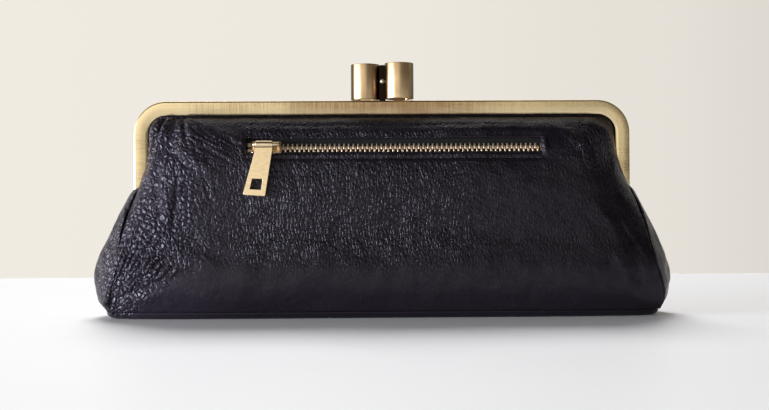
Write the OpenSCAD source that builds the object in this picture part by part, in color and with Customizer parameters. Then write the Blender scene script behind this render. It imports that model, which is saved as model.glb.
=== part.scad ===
// Kiss lock frame purse: a soft leather pouch held in a hinged brass frame, with a zip
// pocket in its front panel. X runs along the frame, the front faces -Y, and the base
// rests on z = 0 with the origin under the middle of the pouch.

/* [Frame] */
// Outer width of the closed frame
frame_w = 250; // [235:1:265]
// Height of the frame's top edge above the floor
frame_top = 108; // [106:0.5:113]
// Height of the hinge axis above the floor
hinge_z = 46; // [44:0.5:49]
// Width of the brass band seen from the front
band = 7.2; // [6.4:0.1:8]
// Depth of one frame half, front to back
half_depth = 6; // [5.6:0.1:7]
// Sheet thickness of the brass channel
frame_t = 1; // [0.8:0.1:1.2]
// Radius of the frame's outer corners
corner_r = 16.5; // [14:0.5:20]
// Radius rolled onto the band's outer edge
edge_r = 1; // [0.6:0.1:1.4]
// How far the band's inner lip is crimped towards the leather
crimp = 0.4; // [0.2:0.1:0.5]
// Gap between the two closed halves
closing_gap = 0.3; // [0.2:0.05:0.5]
// Radius of the cord that wedges the leather in the channel
cord_r = 0.95; // [0.8:0.05:1]

/* [Hinge] */
// Radius of the round ends of the hinge tabs
tab_r = 4.5; // [4:0.1:5]
// Radius of the rivet's shank
rivet_r = 1.5; // [1.2:0.1:1.8]
// Radius of the rivet's outer head
rivet_head_r = 2.8; // [2.4:0.1:3.2]
// Height of the rivet's heads
rivet_head_h = 0.9; // [0.7:0.1:1.1]
// Radial running clearance of the front tab on the rivet
rivet_clear = 0.06; // [0.03:0.01:0.09]

/* [Clasp] */
// Outer diameter of each clasp tube
tube_d = 14.6; // [13:0.1:16]
// Height of each clasp tube
tube_h = 18.1; // [16:0.1:21]
// Wall of the clasp tubes
tube_t = 1; // [0.8:0.1:1.2]
// Gap between the two tubes, which the bead fills
tube_gap = 2.5; // [2.2:0.1:3]
// How far each tube leans over the other half, front to back
tube_lean = 3; // [2.4:0.1:3.4]
// Clearance of the bead as it snaps past the other tube
bead_clear = 0.1; // [0.05:0.05:0.2]
// Width of the bracket that carries a tube
arm_w = 5; // [4:0.5:6]
// Thickness of that bracket
arm_t = 0.8; // [0.6:0.1:1]

/* [Leather] */
// Thickness of the leather
leather_t = 1.4; // [1.2:0.1:1.6]
// Half depth of the pouch at the fold line
belly = 26.4; // [25:0.2:28]
// Half depth of the front panel where it meets the frame
mouth_depth = 6.5; // [6.3:0.1:8]
// Height of the line at which the panels fold as the purse opens
fold_z = 31; // [29:0.5:32]
// How far the panels' ends stand out past the frame's sides at the fold line
fold_out = 8; // [6:0.5:10]
// Half depth of the pouch at the panels' ends on the fold line
fold_end = 22.5; // [21:0.5:23]
// How far the gussets stand out past the frame's sides at their fullest
gusset_full = 20; // [18:0.5:22]
// Height at which the gussets stand out most
gusset_z = 21; // [19:0.5:23]
// Height of the gussets' upper ends
gusset_top = 64; // [60:0.5:65]
// Radial gap where the upper panels run inside the lower ones
lap_gap = 0.8; // [0.6:0.1:1.2]
// Height of the base panel's turned-up rim
rim_z = 3.2; // [2.8:0.1:3.6]
// Gap left at seams between two leather pieces
seam_gap = 0.3; // [0.3:0.05:0.4]

/* [Inside] */
// Thickness of the lining
lining_t = 0.5; // [0.4:0.1:0.6]
// Thickness of the base board
board_t = 1.5; // [1:0.1:2]
// Margin left between the base board and the base panel's rim
board_gap = 6.4; // [5.4:0.2:12]
// Height of the lower lining's upper edge
tub_z = 17; // [14:0.5:17.5]
// Width of the space inside the zip pocket, front to back
pocket_gap = 10.2; // [9.8:0.1:10.4]
// Height of the pocket bag's lower end above the floor
pocket_z = 41; // [40:0.5:44]
// How far the pocket bag reaches above the zip
pocket_over = 9.5; // [8:0.5:10]

/* [Zip] */
// Length of the window in the front panel
zip_len = 147.4; // [138:0.2:150]
// Middle of the window, sideways from the middle of the frame
zip_x = 6.1; // [4:0.1:8]
// Height of the zip above the floor
zip_z = 84.2; // [83:0.2:85]
// Height of the window in the front panel
window_h = 9.6; // [9.2:0.1:10]
// How deep the zip lies under the leather's face
zip_sink = 2.7; // [2.6:0.05:2.8]
// Distance from one tooth to the next on the same tape
tooth_pitch = 2.3; // [2.26:0.02:2.5]
// Width of a tooth along the chain
tooth_w = 1.02; // [0.9:0.01:1.03]
// Thickness of a tooth, front to back
tooth_t = 1.7; // [1.5:0.1:1.8]
// Width of the closed chain
chain_w = 4.4; // [4.3:0.1:4.6]
// Thickness of the zip tape
tape_t = 0.5; // [0.4:0.05:0.6]
// Half width of the zip, from the chain's middle to a tape's edge
tape_w = 5.7; // [5.5:0.1:5.8]
// Length of the slider
slider_len = 14.5; // [13:0.1:16]
// Width of the slider across its shoulders
slider_w = 7; // [6.6:0.1:7.4]
// Clearance between the slider and the chain
slider_clear = 0.15; // [0.1:0.01:0.2]
// Thickness of the slider's plates
slider_t = 0.9; // [0.8:0.05:1]

/* [Pull] */
// Length of the pull, from its pivot to its lower end
pull_len = 25.2; // [22:0.2:27]
// Width of the pull at its eye
pull_top_w = 8.4; // [7.6:0.1:9]
// Width of the pull at its lower end
pull_end_w = 10.9; // [9.6:0.1:12.5]
// Thickness of the pull
pull_t = 1.3; // [1:0.1:1.4]
// Side of the square hole in the pull
pull_hole = 5.2; // [4.4:0.1:5.8]
// Length of the bridge bar between its posts
bar_len = 10.6; // [9.4:0.1:11]
// Radius of the bridge bar that the pull hangs on
bar_r = 1; // [0.9:0.05:1.1]
// Radial running clearance of the pull's eye on the bar
bar_clear = 0.07; // [0.03:0.01:0.09]
// How far the bar stands out from the leather's face
bar_out = 2.6; // [2.5:0.1:3]
// Angle at which the pull leans out to rest on the leather
pull_lean = 7; // [6.5:0.5:9]

/* [Hidden] */
$fn = 48;

brass = "#b39a62";
gold = "#e2b45c";
leather = "#1d1d20";
cloth = "#3a3632";
card = "#6b5a45";
side_x = frame_w / 2;
fold_x = side_x + fold_out;
gusset_x = side_x + gusset_full;
base_x = gusset_x - 7.4;
base_y = belly + 0.2;
board_x = base_x - leather_t - board_gap - 4.8;
board_y = base_y - leather_t - board_gap + 1.2;
bend_x = side_x - corner_r;
bend_z = frame_top - corner_r;
face_y = -closing_gap / 2 - half_depth;
leg_end = hinge_z + tab_r + 2;
tab_gap = 0.3;
tab_in = side_x - 2 * frame_t - tab_gap;
// The panels' side edges run this far inside the legs, and flare out below flare_z
edge_gap = 0.7;
mouth_z = frame_top - band - 1.6;
flare_z = hinge_z + 28;
leg_x = side_x - band - edge_gap;
edge_in = 4.6;
depth_z = flare_z + 10;
tuck_y = closing_gap / 2 + half_depth - frame_t - crimp - 0.15;
tuck_top = frame_top - frame_t - 1;
seam_z = rim_z + seam_gap;
step = leather_t + lap_gap;
tube_z = frame_top + arm_t + 0.1;
tube_r = tube_d / 2;
tube_x = tube_gap / 2 + tube_r;
bead_r = (tube_gap - bead_clear) / 2;
bead_stem_r = bead_r / 2;
slider_x0 = zip_x - zip_len / 2 + 3 + slider_len / 2;
chain_x0 = slider_x0 - 1.5;
stop_w = 1.7;
chain_x1 = zip_x + zip_len / 2 - stop_w - 1.5;
teeth = floor((chain_x1 - chain_x0) / tooth_pitch);
mesh_over = 0.8;
// A tape's inner edge lies this far from the chain's middle, inside the teeth
tape_in = chain_w / 2 - 1.2;
channel_h = tooth_t / 2 + slider_clear;
pull_x = slider_x0 - (bar_len - pull_top_w) / 2 + 0.15;
pocket_top = zip_z + pocket_over;
eye_r = bar_r + bar_clear + 0.8;

// Heights turned to shares of the way, and the outer form of the pouch at each height

function share(z, low, high) = max(0, min(1, (z - low) / (high - low)));
function smooth(t) = t * t * (3 - 2 * t);
function upper_mid(z) =
    mouth_depth + (belly - mouth_depth) * sqrt(1 - pow(share(z, fold_z, mouth_z), 4));
function upper_end(z) = edge_in + (fold_end - edge_in) * pow(1 - share(z, fold_z, depth_z), 0.8);
function leg_edge(z) = z > bend_z
    ? bend_x + sqrt(max(0, pow(corner_r - band - edge_gap, 2) - pow(z - bend_z, 2)))
    : leg_x;
function upper_edge(z) =
    leg_edge(z) + (fold_x - leg_x) * sqrt(1 - share(z, fold_z, flare_z));
function lower_mid(z) =
    belly + step + 0.7 * sin(180 * fall(z)) - 1.4 * pow(fall(z), 3);
function lower_end(z) = fold_end + step - 3.6 * pow(fall(z), 2);
function lower_edge(z) = fold_x + 0.4 + 4.4 * sin(150 * fall(z));
function fall(z) = 1 - share(z, seam_z, fold_z);
function gusset_out(z) = z > gusset_z
    ? gusset_x - 17 * smooth(share(z, gusset_z, gusset_top + 6))
    : gusset_x - 7 * pow(1 - share(z, rim_z, gusset_z), 2.2);
function gusset_edge(z) =
    seam_gap + (z > fold_z ? max(upper_edge(z) + 0.4, side_x + 1.9) : lower_edge(z));
function gusset_end(z) = let (
    high = upper_end(max(z, fold_z)),
    low = lower_end(min(z, fold_z))
) high + (low - high) * smooth(1 - share(z, fold_z - 5, fold_z)) - leather_t - 0.5;
// How far the space in the zip pocket opens at a height and a share of the width
function pocket_open(z, u) = pocket_gap * (1 - pow(2 * share(z, pocket_z, pocket_top) - 1, 4))
    * (1 - pow(abs(u), 10));

// Points of the panels' faces. u runs from -1 to 1 along X, and v is the height
function bow(u, n) = 1 - pow(abs(u), n);
upper_face = function (u, z) [
    u * upper_edge(z), -upper_end(z) - (upper_mid(z) - upper_end(z)) * bow(u, 12), z
];
lower_face = function (u, z) [
    u * lower_edge(z), -lower_end(z) - (lower_mid(z) - lower_end(z)) * bow(u, 8), z
];
gusset_face = function (u, z) [
    gusset_out(z) - (gusset_out(z) - gusset_edge(z)) * pow(abs(u), 2.2), u * gusset_end(z), z
];
// The point at depth t behind a face, square to it
function behind(face, u, v, t) = let (
    e = 0.01,
    a = face(min(u + e, 1), v) - face(max(u - e, -1), v),
    b = face(u, v + e) - face(u, v - e),
    n = cross(a, b)
) face(u, v) - t * n / norm(n);
function steps(a, b, n) = [for (i = [0 : n]) a + (b - a) * i / n];
// Steps that lie closer together towards both ends, for a sheet that bends down at its ends
function end_steps(n) = [for (i = [0 : n]) sin(90 * sin(90 * (2 * i / n - 1)))];

// A closed sheet between a grid of points and the grid behind it
module sheet(front, back) {
    rows = len(front);
    cols = len(front[0]);
    count = rows * cols;
    function at(r, c, side) = side * count + r * cols + c;
    polyhedron(
        points = [for (grid = [front, back]) for (row = grid) for (p = row) p],
        faces = [
            for (r = [0 : rows - 2]) for (c = [0 : cols - 2]) each [
                [at(r, c, 0), at(r + 1, c, 0), at(r + 1, c + 1, 0)],
                [at(r, c, 0), at(r + 1, c + 1, 0), at(r, c + 1, 0)],
                [at(r, c, 1), at(r + 1, c + 1, 1), at(r + 1, c, 1)],
                [at(r, c, 1), at(r, c + 1, 1), at(r + 1, c + 1, 1)]
            ],
            for (r = [0 : rows - 2]) each [
                [at(r, 0, 0), at(r, 0, 1), at(r + 1, 0, 1)],
                [at(r, 0, 0), at(r + 1, 0, 1), at(r + 1, 0, 0)],
                [at(r, cols - 1, 0), at(r + 1, cols - 1, 1), at(r, cols - 1, 1)],
                [at(r, cols - 1, 0), at(r + 1, cols - 1, 0), at(r + 1, cols - 1, 1)]
            ],
            for (c = [0 : cols - 2]) each [
                [at(0, c, 0), at(0, c + 1, 1), at(0, c, 1)],
                [at(0, c, 0), at(0, c + 1, 0), at(0, c + 1, 1)],
                [at(rows - 1, c, 0), at(rows - 1, c, 1), at(rows - 1, c + 1, 1)],
                [at(rows - 1, c, 0), at(rows - 1, c + 1, 1), at(rows - 1, c + 1, 0)]
            ]
        ],
        convexity = 6
    );
}

// A closed stack of rounded outlines, each given as [half length, half depth, height]
module stack(rings, squareness) {
    n = 44;
    function ring(r) = [
        for (i = [0 : n - 1]) let (a = 360 * i / n, c = cos(a), s = sin(a)) [
            r[0] * sign(c) * pow(abs(c), 2 / squareness),
            r[1] * sign(s) * pow(abs(s), 2 / squareness),
            r[2]
        ]
    ];
    last = len(rings) - 1;
    polyhedron(
        points = [for (r = rings) each ring(r)],
        faces = [
            [for (i = [0 : n - 1]) i],
            [for (i = [n - 1 : -1 : 0]) last * n + i],
            for (k = [0 : last - 1]) for (i = [0 : n - 1]) let (j = (i + 1) % n) each [
                [k * n + i, (k + 1) * n + i, (k + 1) * n + j],
                [k * n + i, (k + 1) * n + j, k * n + j]
            ]
        ],
        convexity = 4
    );
}

// The channel of a frame half as [distance from the outer edge, distance from the face]
function channel() = [
    [band, crimp], [band - 1.5, 0],
    for (a = [0 : 15 : 90]) [edge_r * (1 - sin(a)), edge_r * (1 - cos(a))],
    [0, half_depth - 0.3], [0.3, half_depth],
    [band - 0.4, half_depth], [band - 0.4, half_depth - frame_t],
    [frame_t, half_depth - frame_t], [frame_t, frame_t],
    [band - 1.5, frame_t], [band, frame_t + crimp]
];

// Runs an outline round the frame, along the top bar, both corners and both legs
module round_frame(outline, low) {
    translate([-bend_x, face_y, frame_top])
        rotate([90, 0, 90])
            linear_extrude(2 * bend_x)
                polygon([for (p = outline) [p[1], -p[0]]]);
    for (side = [0, 1]) mirror([side, 0, 0]) {
        translate([bend_x, 0, bend_z])
            rotate([90, 0, 0])
                rotate_extrude(angle = 90, $fn = 64)
                    polygon([for (p = outline) [corner_r - p[0], -face_y - p[1]]]);
        translate([0, 0, low])
            linear_extrude(bend_z - low)
                polygon([for (p = outline) [side_x - p[0], face_y + p[1]]]);
    }
}

// A hinge tab: a round end about the hinge axis and the strip that joins it to the leg
module hinge_tab(x, hole_r, strip_t, strip_face) {
    inner = -closing_gap - 0.15;
    difference() {
        union() {
            translate([x, 0, hinge_z]) rotate([0, 90, 0]) cylinder(r = tab_r, h = frame_t);
            translate([x, 0, 0]) rotate([90, 0, 90]) linear_extrude(frame_t) polygon([
                [-tab_r, hinge_z], [face_y + strip_face, leg_end + 0.5],
                [face_y + strip_face, leg_end + 5], [inner, leg_end + 5],
                [inner, leg_end - 1], [tab_r * 0.7, hinge_z + tab_r * 0.7], [0, hinge_z]
            ]);
            translate([x, face_y + strip_face, leg_end + 0.5])
                cube([strip_t, inner - face_y - strip_face - frame_t, 4.5]);
        }
        translate([x - 1, 0, hinge_z]) rotate([0, 90, 0]) cylinder(r = hole_r, h = frame_t + 2);
    }
}

module frame_half(tab_x, hole_r, strip_t, strip_face) {
    round_frame(channel(), leg_end);
    for (side = [0, 1]) mirror([side, 0, 0]) hinge_tab(tab_x, hole_r, strip_t, strip_face);
}

module front_frame() {
    color(brass) frame_half(side_x - frame_t, rivet_r + rivet_clear, frame_t, edge_r);
}

module rear_frame() {
    color(brass) mirror([0, 1, 0])
        frame_half(tab_in, rivet_r, 2 * frame_t + tab_gap - 0.5, frame_t + 0.05);
}

// The rivets: pressed in the rear half's tabs, with the front half's tabs turning on them
module hinge_rivets() {
    head_in = tab_in - 0.05 - rivet_head_h;
    color(brass) for (side = [0, 1]) mirror([side, 0, 0]) translate([0, 0, hinge_z])
        rotate([0, 90, 0]) rotate_extrude() polygon([
            [0, head_in], [rivet_head_r - 0.5, head_in], [rivet_head_r - 0.2, head_in + 0.3],
            [rivet_head_r - 0.2, tab_in - 0.05], [rivet_r, tab_in - 0.05],
            [rivet_r, side_x + 0.1], [rivet_head_r, side_x + 0.1],
            for (a = [15 : 15 : 90]) [
                rivet_head_r * cos(a), side_x + 0.1 + rivet_head_h * sin(a)
            ]
        ]);
}

// The cord lies behind the leather in the channel
module crimp_cord() {
    s = frame_t + cord_r + 0.1;
    y = -closing_gap / 2 - frame_t - cord_r - 0.05;
    color(card) {
        translate([-bend_x, y, frame_top - s]) rotate([0, 90, 0])
            cylinder(r = cord_r, h = 2 * bend_x);
        for (side = [0, 1]) mirror([side, 0, 0]) {
            translate([bend_x, y, bend_z]) rotate([90, 0, 0]) rotate_extrude(angle = 90)
                translate([corner_r - s, 0]) circle(r = cord_r, $fn = 24);
            translate([side_x - s, y, leg_end + 6]) cylinder(r = cord_r, h = bend_z - leg_end - 6);
        }
    }
}

module front_crimp_cord() {
    crimp_cord();
}

module rear_crimp_cord() {
    mirror([0, 1, 0]) crimp_cord();
}

// The bracket stands on the frame's top edge and runs up the inside of its tube
module clasp_arm() {
    inner_r = tube_r - tube_t;
    reach = sqrt(inner_r * inner_r - arm_w * arm_w / 4);
    strap_y = tube_lean - reach + 0.03;
    foot_y = face_y + edge_r;
    color(brass) translate([-tube_x - arm_w / 2, 0, 0]) rotate([90, 0, 90])
        linear_extrude(arm_w) polygon([
            [foot_y, frame_top], [strap_y + arm_t, frame_top],
            [strap_y + arm_t, tube_z + tube_h * 0.75], [strap_y, tube_z + tube_h * 0.75],
            [strap_y, frame_top + arm_t], [foot_y, frame_top + arm_t]
        ]);
}

module front_clasp_arm() {
    clasp_arm();
}

module rear_clasp_arm() {
    rotate([0, 0, 180]) clasp_arm();
}

module tube() {
    c = tube_t * 0.3;
    color(brass) translate([0, 0, tube_z]) rotate_extrude($fn = 64) polygon([
        [tube_r - c, 0], [tube_r, c], [tube_r, tube_h - c], [tube_r - c, tube_h],
        [tube_r - tube_t + c, tube_h], [tube_r - tube_t, tube_h - c],
        [tube_r - tube_t, c], [tube_r - tube_t + c, 0]
    ]);
}

module front_clasp_tube() {
    translate([-tube_x, tube_lean, 0]) tube();
}

module rear_clasp_tube() {
    difference() {
        translate([tube_x, -tube_lean, 0]) tube();
        translate([0, -tube_lean, tube_z + tube_h / 2]) rotate([0, 90, 0])
            cylinder(r = bead_stem_r + 0.05, h = tube_r);
    }
}

// The bead is riveted through the rear tube's wall and stands in the gap
module catch_bead() {
    color(brass) translate([0, -tube_lean, tube_z + tube_h / 2]) rotate([0, 90, 0]) {
        translate([0, 0, tube_gap / 2 - bead_r]) sphere(r = bead_r, $fn = 32);
        translate([0, 0, tube_gap / 2 - bead_r])
            cylinder(r = bead_stem_r, h = bead_r + tube_t + 0.3);
        translate([0, 0, tube_gap / 2 + tube_t + 0.3]) cylinder(r = bead_stem_r * 1.8, h = 0.5);
    }
}

// The upper part of a panel, from the fold line up and into the frame's channel
module upper_panel() {
    us = end_steps(20);
    zs = [for (t = steps(0, 1, 9)) fold_z + (mouth_z - fold_z) * (1 - pow(1 - t, 1.5))];
    tuck_x = bend_x - 1;
    front = [
        for (z = zs) [for (u = us) upper_face(u, z)],
        for (z = [mouth_z + 1, tuck_top]) [for (u = us) [u * tuck_x, -tuck_y, z]]
    ];
    back = [
        for (z = zs) [for (u = us) behind(upper_face, u, z, leather_t)],
        for (z = [mouth_z + 1, tuck_top]) [for (u = us) [u * tuck_x, leather_t - tuck_y, z]]
    ];
    color(leather) sheet(front, back);
}

// Space on the zip's line: X along the chain, Z up the leather and -Y straight out of it
zip_slope = atan((upper_mid(zip_z - 3) - upper_mid(zip_z + 3)) / 6);
module on_zip() {
    translate([0, -upper_mid(zip_z), zip_z]) rotate([-zip_slope, 0, 0]) children();
}

module window(height, low, high) {
    r = 1;
    on_zip() translate([zip_x, 0, 0]) {
        translate([r - zip_len / 2, low, -height / 2]) cube([zip_len - 2 * r, high - low, height]);
        translate([-zip_len / 2, low, r - height / 2]) cube([zip_len, high - low, height - 2 * r]);
        for (x = [-1, 1]) for (z = [-1, 1])
            translate([x * (zip_len / 2 - r), low, z * (height / 2 - r)]) rotate([-90, 0, 0])
                cylinder(r = r, h = high - low);
    }
}

module front_panel() {
    color(leather) difference() {
        upper_panel();
        window(window_h, -5, 6);
    }
}

module rear_panel() {
    mirror([0, 1, 0]) upper_panel();
}

// The lower part of a panel, from the bottom seam up to the fold line
module lower_panel() {
    us = end_steps(20);
    zs = steps(seam_z, fold_z, 5);
    color(leather) sheet(
        [for (z = zs) [for (u = us) lower_face(u, z)]],
        [for (z = zs) [for (u = us) behind(lower_face, u, z, leather_t)]]
    );
}

module front_panel_lower() {
    lower_panel();
}

module rear_panel_lower() {
    mirror([0, 1, 0]) lower_panel();
}

module gusset() {
    us = steps(-1, 1, 12);
    zs = steps(seam_z, gusset_top, 11);
    color(leather) sheet(
        [for (z = zs) [for (u = us) gusset_face(u, z)]],
        [for (z = zs) [for (u = us) behind(gusset_face, u, z, leather_t)]]
    );
}

module left_gusset() {
    mirror([1, 0, 0]) gusset();
}

module right_gusset() {
    gusset();
}

// The base panel is a shallow tray, whose rim meets the panels and the gussets at the seam
module base_panel() {
    top = [base_x, base_y];
    color(leather) difference() {
        stack([
            [top[0] - 5, top[1] - 3.4, 0], [top[0] - 2, top[1] - 1.2, 0.9],
            [top[0] - 0.4, top[1] - 0.2, 2], [top[0], top[1], rim_z]
        ], 6);
        stack([
            [top[0] - 4, top[1] - 3, leather_t], [top[0] - leather_t, top[1] - leather_t, rim_z + 1]
        ], 6);
    }
}

module base_board() {
    r = 8;
    color(card) translate([0, 0, leather_t]) {
        translate([-board_x + r, -board_y, 0]) cube([2 * (board_x - r), 2 * board_y, board_t]);
        translate([-board_x, -board_y + r, 0]) cube([2 * board_x, 2 * (board_y - r), board_t]);
        for (x = [-1, 1]) for (y = [-1, 1])
            translate([x * (board_x - r), y * (board_y - r), 0]) cylinder(r = r, h = board_t);
    }
}

// A lining sheet behind an upper panel, at a depth that may change over it
module upper_lining(offset) {
    us = steps(-0.88, 0.88, 14);
    zs = steps(fold_z + 1, mouth_z - 3 * leather_t, 8);
    face = function (u, z) upper_face(u, z) + [0, offset(u, z), 0];
    color(cloth) sheet(
        [for (z = zs) [for (u = us) face(u, z)]],
        [for (z = zs) [for (u = us) behind(face, u, z, lining_t)]]
    );
}

pocket_face = zip_sink + tape_t / 2 + 0.2;
module front_lining() {
    upper_lining(function (u, z) pocket_face + 2 * lining_t + 0.35 + pocket_open(z, u));
}

module rear_lining() {
    mirror([0, 1, 0]) upper_lining(function (u, z) 2 * leather_t);
}

module lower_lining() {
    low = leather_t + board_t + 0.1;
    x = board_x + 4;
    y = board_y + 2.4;
    color(cloth) difference() {
        stack([[x - 2, y - 1.4, low], [x, y, low + 2.5], [x + 3, y + 0.6, tub_z]], 6);
        stack([
            [x - 2.5, y - 1.9, low + lining_t], [x - lining_t, y - lining_t, low + 2.8],
            [x + 3 - lining_t, y + 0.6 - lining_t, tub_z + 1]
        ], 6);
    }
}

// The pocket bag: two cloth walls that part below the zip, closed at the sides and below
module zip_pocket() {
    x0 = zip_x - zip_len / 2 - 3;
    x1 = zip_x + zip_len / 2 + 3;
    function at(x, z, t) = let (u = x / upper_edge(z)) upper_face(u, z) + [0, t, 0];
    function part(x, z) = pocket_open(z, u_of(x));
    function u_of(x) = 2 * (x - x0) / (x1 - x0) - 1;
    module walls(inset, front_t, back_t) {
        xs = steps(x0 + inset, x1 - inset, 12);
        zs = steps(pocket_z + inset, pocket_top - inset, 8);
        sheet(
            [for (z = zs) [for (x = xs) at(x, z, front_t)]],
            [for (z = zs) [for (x = xs) at(x, z, back_t + part(x, z))]]
        );
    }
    color(cloth) difference() {
        walls(0, pocket_face, pocket_face + 2 * lining_t);
        walls(1.2, pocket_face + lining_t, pocket_face + lining_t + 0.05);
        window(window_h, -3, pocket_face + lining_t + 2.2);
    }
}

// The tapes: the teeth are crimped over their inner edges
module tape() {
    color(leather) on_zip()
        translate([zip_x - zip_len / 2 - 1, zip_sink - tape_t / 2, tape_in])
            cube([zip_len + 2, tape_t, tape_w - tape_in]);
}

module zip_tape_upper() {
    tape();
}

module zip_tape_lower() {
    on_zip() mirror([0, 0, 1]) off_zip() tape();
}

// Undoes on_zip, so that a piece on the zip's line can be mirrored across that line
module off_zip() {
    rotate([zip_slope, 0, 0]) translate([0, upper_mid(zip_z), -zip_z]) children();
}

// One tooth seen along its own length: a nib on one side and the notch that it seats in
module tooth() {
    nib = 0.3;
    w = tooth_w / 2;
    h = tooth_t / 2;
    linear_extrude(chain_w / 2 + mesh_over) polygon([
        [-w, -h], [w, -h], [w, -nib - 0.1], [w + nib, -0.1], [w + nib, 0.1], [w, nib + 0.1],
        [w, h], [-w, h], [-w, nib + 0.2], [-w + nib, 0.2], [-w + nib, -0.2], [-w, -nib - 0.2]
    ]);
}

module teeth_row(shift) {
    color(gold) on_zip() for (i = [0 : teeth - 1])
        translate([chain_x0 + tooth_w / 2 + shift + i * tooth_pitch, zip_sink, -mesh_over]) tooth();
}

module zip_teeth_upper() {
    teeth_row(0);
}

module zip_teeth_lower() {
    on_zip() mirror([0, 0, 1]) off_zip() teeth_row(tooth_pitch / 2);
}

// Two clips that stop the slider at the closed end, one on each tape
module zip_top_stops() {
    color(gold) on_zip() for (side = [0, 1]) mirror([0, 0, side])
        translate([slider_x0 - slider_len / 2 - stop_w - 0.3, zip_sink - tooth_t / 2, 0.5])
            difference() {
                cube([stop_w, tooth_t, 2]);
                translate([-1, (tooth_t - tape_t) / 2, tape_in - 0.5])
                    cube([stop_w + 2, tape_t, 3]);
            }
}

// One clip across both tapes at the end where the zip stays joined
module zip_bottom_stop() {
    color(gold) on_zip()
        translate([zip_x + zip_len / 2 - stop_w - 0.6, zip_sink - tooth_t / 2, -chain_w / 2])
            difference() {
                cube([stop_w, tooth_t, chain_w]);
                for (z = [-1, chain_w / 2 + tape_in])
                    translate([-1, (tooth_t - tape_t) / 2, z])
                        cube([stop_w + 2, tape_t, chain_w / 2 - tape_in + 1]);
            }
}

// The slider's outline: broad shoulders at the opening end, narrower where the chain leaves
function slider_outline() = [
    [-slider_len / 2, -slider_w / 2 + 1], [-slider_len / 2 + 1, -slider_w / 2],
    [-slider_len / 5, -slider_w / 2], [slider_len / 3, -slider_w / 2 + 0.3],
    [slider_len / 2, -slider_w / 2 + 0.5], [slider_len / 2, slider_w / 2 - 0.5],
    [slider_len / 3, slider_w / 2 - 0.3], [-slider_len / 5, slider_w / 2],
    [-slider_len / 2 + 1, slider_w / 2], [-slider_len / 2, slider_w / 2 - 1]
];

module slider_plate(y, t) {
    translate([0, y + t, 0]) rotate([90, 0, 0]) linear_extrude(t) polygon(slider_outline());
}

module zip_slider() {
    slot = tape_t / 2 + 0.2;
    lip = chain_w / 2 + slider_clear;
    front_y = zip_sink - channel_h - slider_t;
    color(gold) on_zip() translate([slider_x0, 0, 0]) {
        slider_plate(front_y, slider_t);
        slider_plate(zip_sink + channel_h, slider_t);
        // Lips that hold the chain in, with a slot for the tapes between them
        for (side = [0, 1]) mirror([0, 0, side]) for (y = [-1, 1])
            intersection() {
                slider_plate(zip_sink + (y < 0 ? -channel_h : slot), channel_h - slot);
                translate([-slider_len, -20, lip]) cube([2 * slider_len, 40, 10]);
            }
        // The wedge that parts the rows of teeth
        translate([0, zip_sink + channel_h, 0]) rotate([90, 0, 0]) linear_extrude(2 * channel_h)
            polygon([
                [-slider_len / 2 + 0.4, -0.6], [-slider_len / 2 + 1.4, -0.8], [-2.6, 0],
                [-slider_len / 2 + 1.4, 0.8], [-slider_len / 2 + 0.4, 0.6]
            ]);
        // The bridge: two posts and the bar that the pull hangs on
        for (x = [-1, 1]) translate([x * (bar_len / 2 + 0.6) - 0.6, 0, 0]) {
            translate([0, -bar_out, 0]) rotate([0, 90, 0]) cylinder(r = bar_r + 0.3, h = 1.2);
            translate([0, -bar_out, -bar_r - 0.3]) cube([1.2, bar_out + front_y, 2 * bar_r + 0.6]);
        }
        translate([-bar_len / 2, -bar_out, 0]) rotate([0, 90, 0])
            cylinder(r = bar_r, h = bar_len);
    }
}

// The pull: a rolled eye on the bar and a flared blade with a square hole near its end
module zip_pull() {
    w0 = pull_top_w / 2;
    w1 = pull_end_w / 2;
    c = 0.7;
    hole_z = -pull_len + 3 + pull_hole / 2;
    pivot = [
        pull_x, -upper_mid(zip_z) - bar_out * cos(zip_slope), zip_z + bar_out * sin(zip_slope)
    ];
    color(gold) translate(pivot) rotate([-pull_lean, 0, 0]) difference() {
        union() {
            translate([-w0, 0, 0]) rotate([0, 90, 0]) cylinder(r = eye_r, h = 2 * w0);
            translate([0, pull_t / 2, 0]) rotate([90, 0, 0]) linear_extrude(pull_t) polygon([
                [-w0, 0], [-w0, -eye_r - 1], [-w1, c - pull_len], [c - w1, -pull_len],
                [w1 - c, -pull_len], [w1, c - pull_len], [w0, -eye_r - 1], [w0, 0]
            ]);
        }
        translate([-w0 - 1, 0, 0]) rotate([0, 90, 0])
            cylinder(r = bar_r + bar_clear, h = pull_top_w + 2);
        translate([-pull_hole / 2, -pull_t, hole_z - pull_hole / 2])
            cube([pull_hole, 2 * pull_t, pull_hole]);
    }
}

front_frame();
rear_frame();
hinge_rivets();
front_crimp_cord();
rear_crimp_cord();
front_clasp_arm();
rear_clasp_arm();
front_clasp_tube();
rear_clasp_tube();
catch_bead();
front_panel();
rear_panel();
front_panel_lower();
rear_panel_lower();
left_gusset();
right_gusset();
base_panel();
base_board();
front_lining();
rear_lining();
lower_lining();
zip_pocket();
zip_tape_upper();
zip_tape_lower();
zip_teeth_upper();
zip_teeth_lower();
zip_top_stops();
zip_bottom_stop();
zip_slider();
zip_pull();
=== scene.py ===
"""Kiss lock frame purse: leather, lining, brass and zip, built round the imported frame."""

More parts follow.
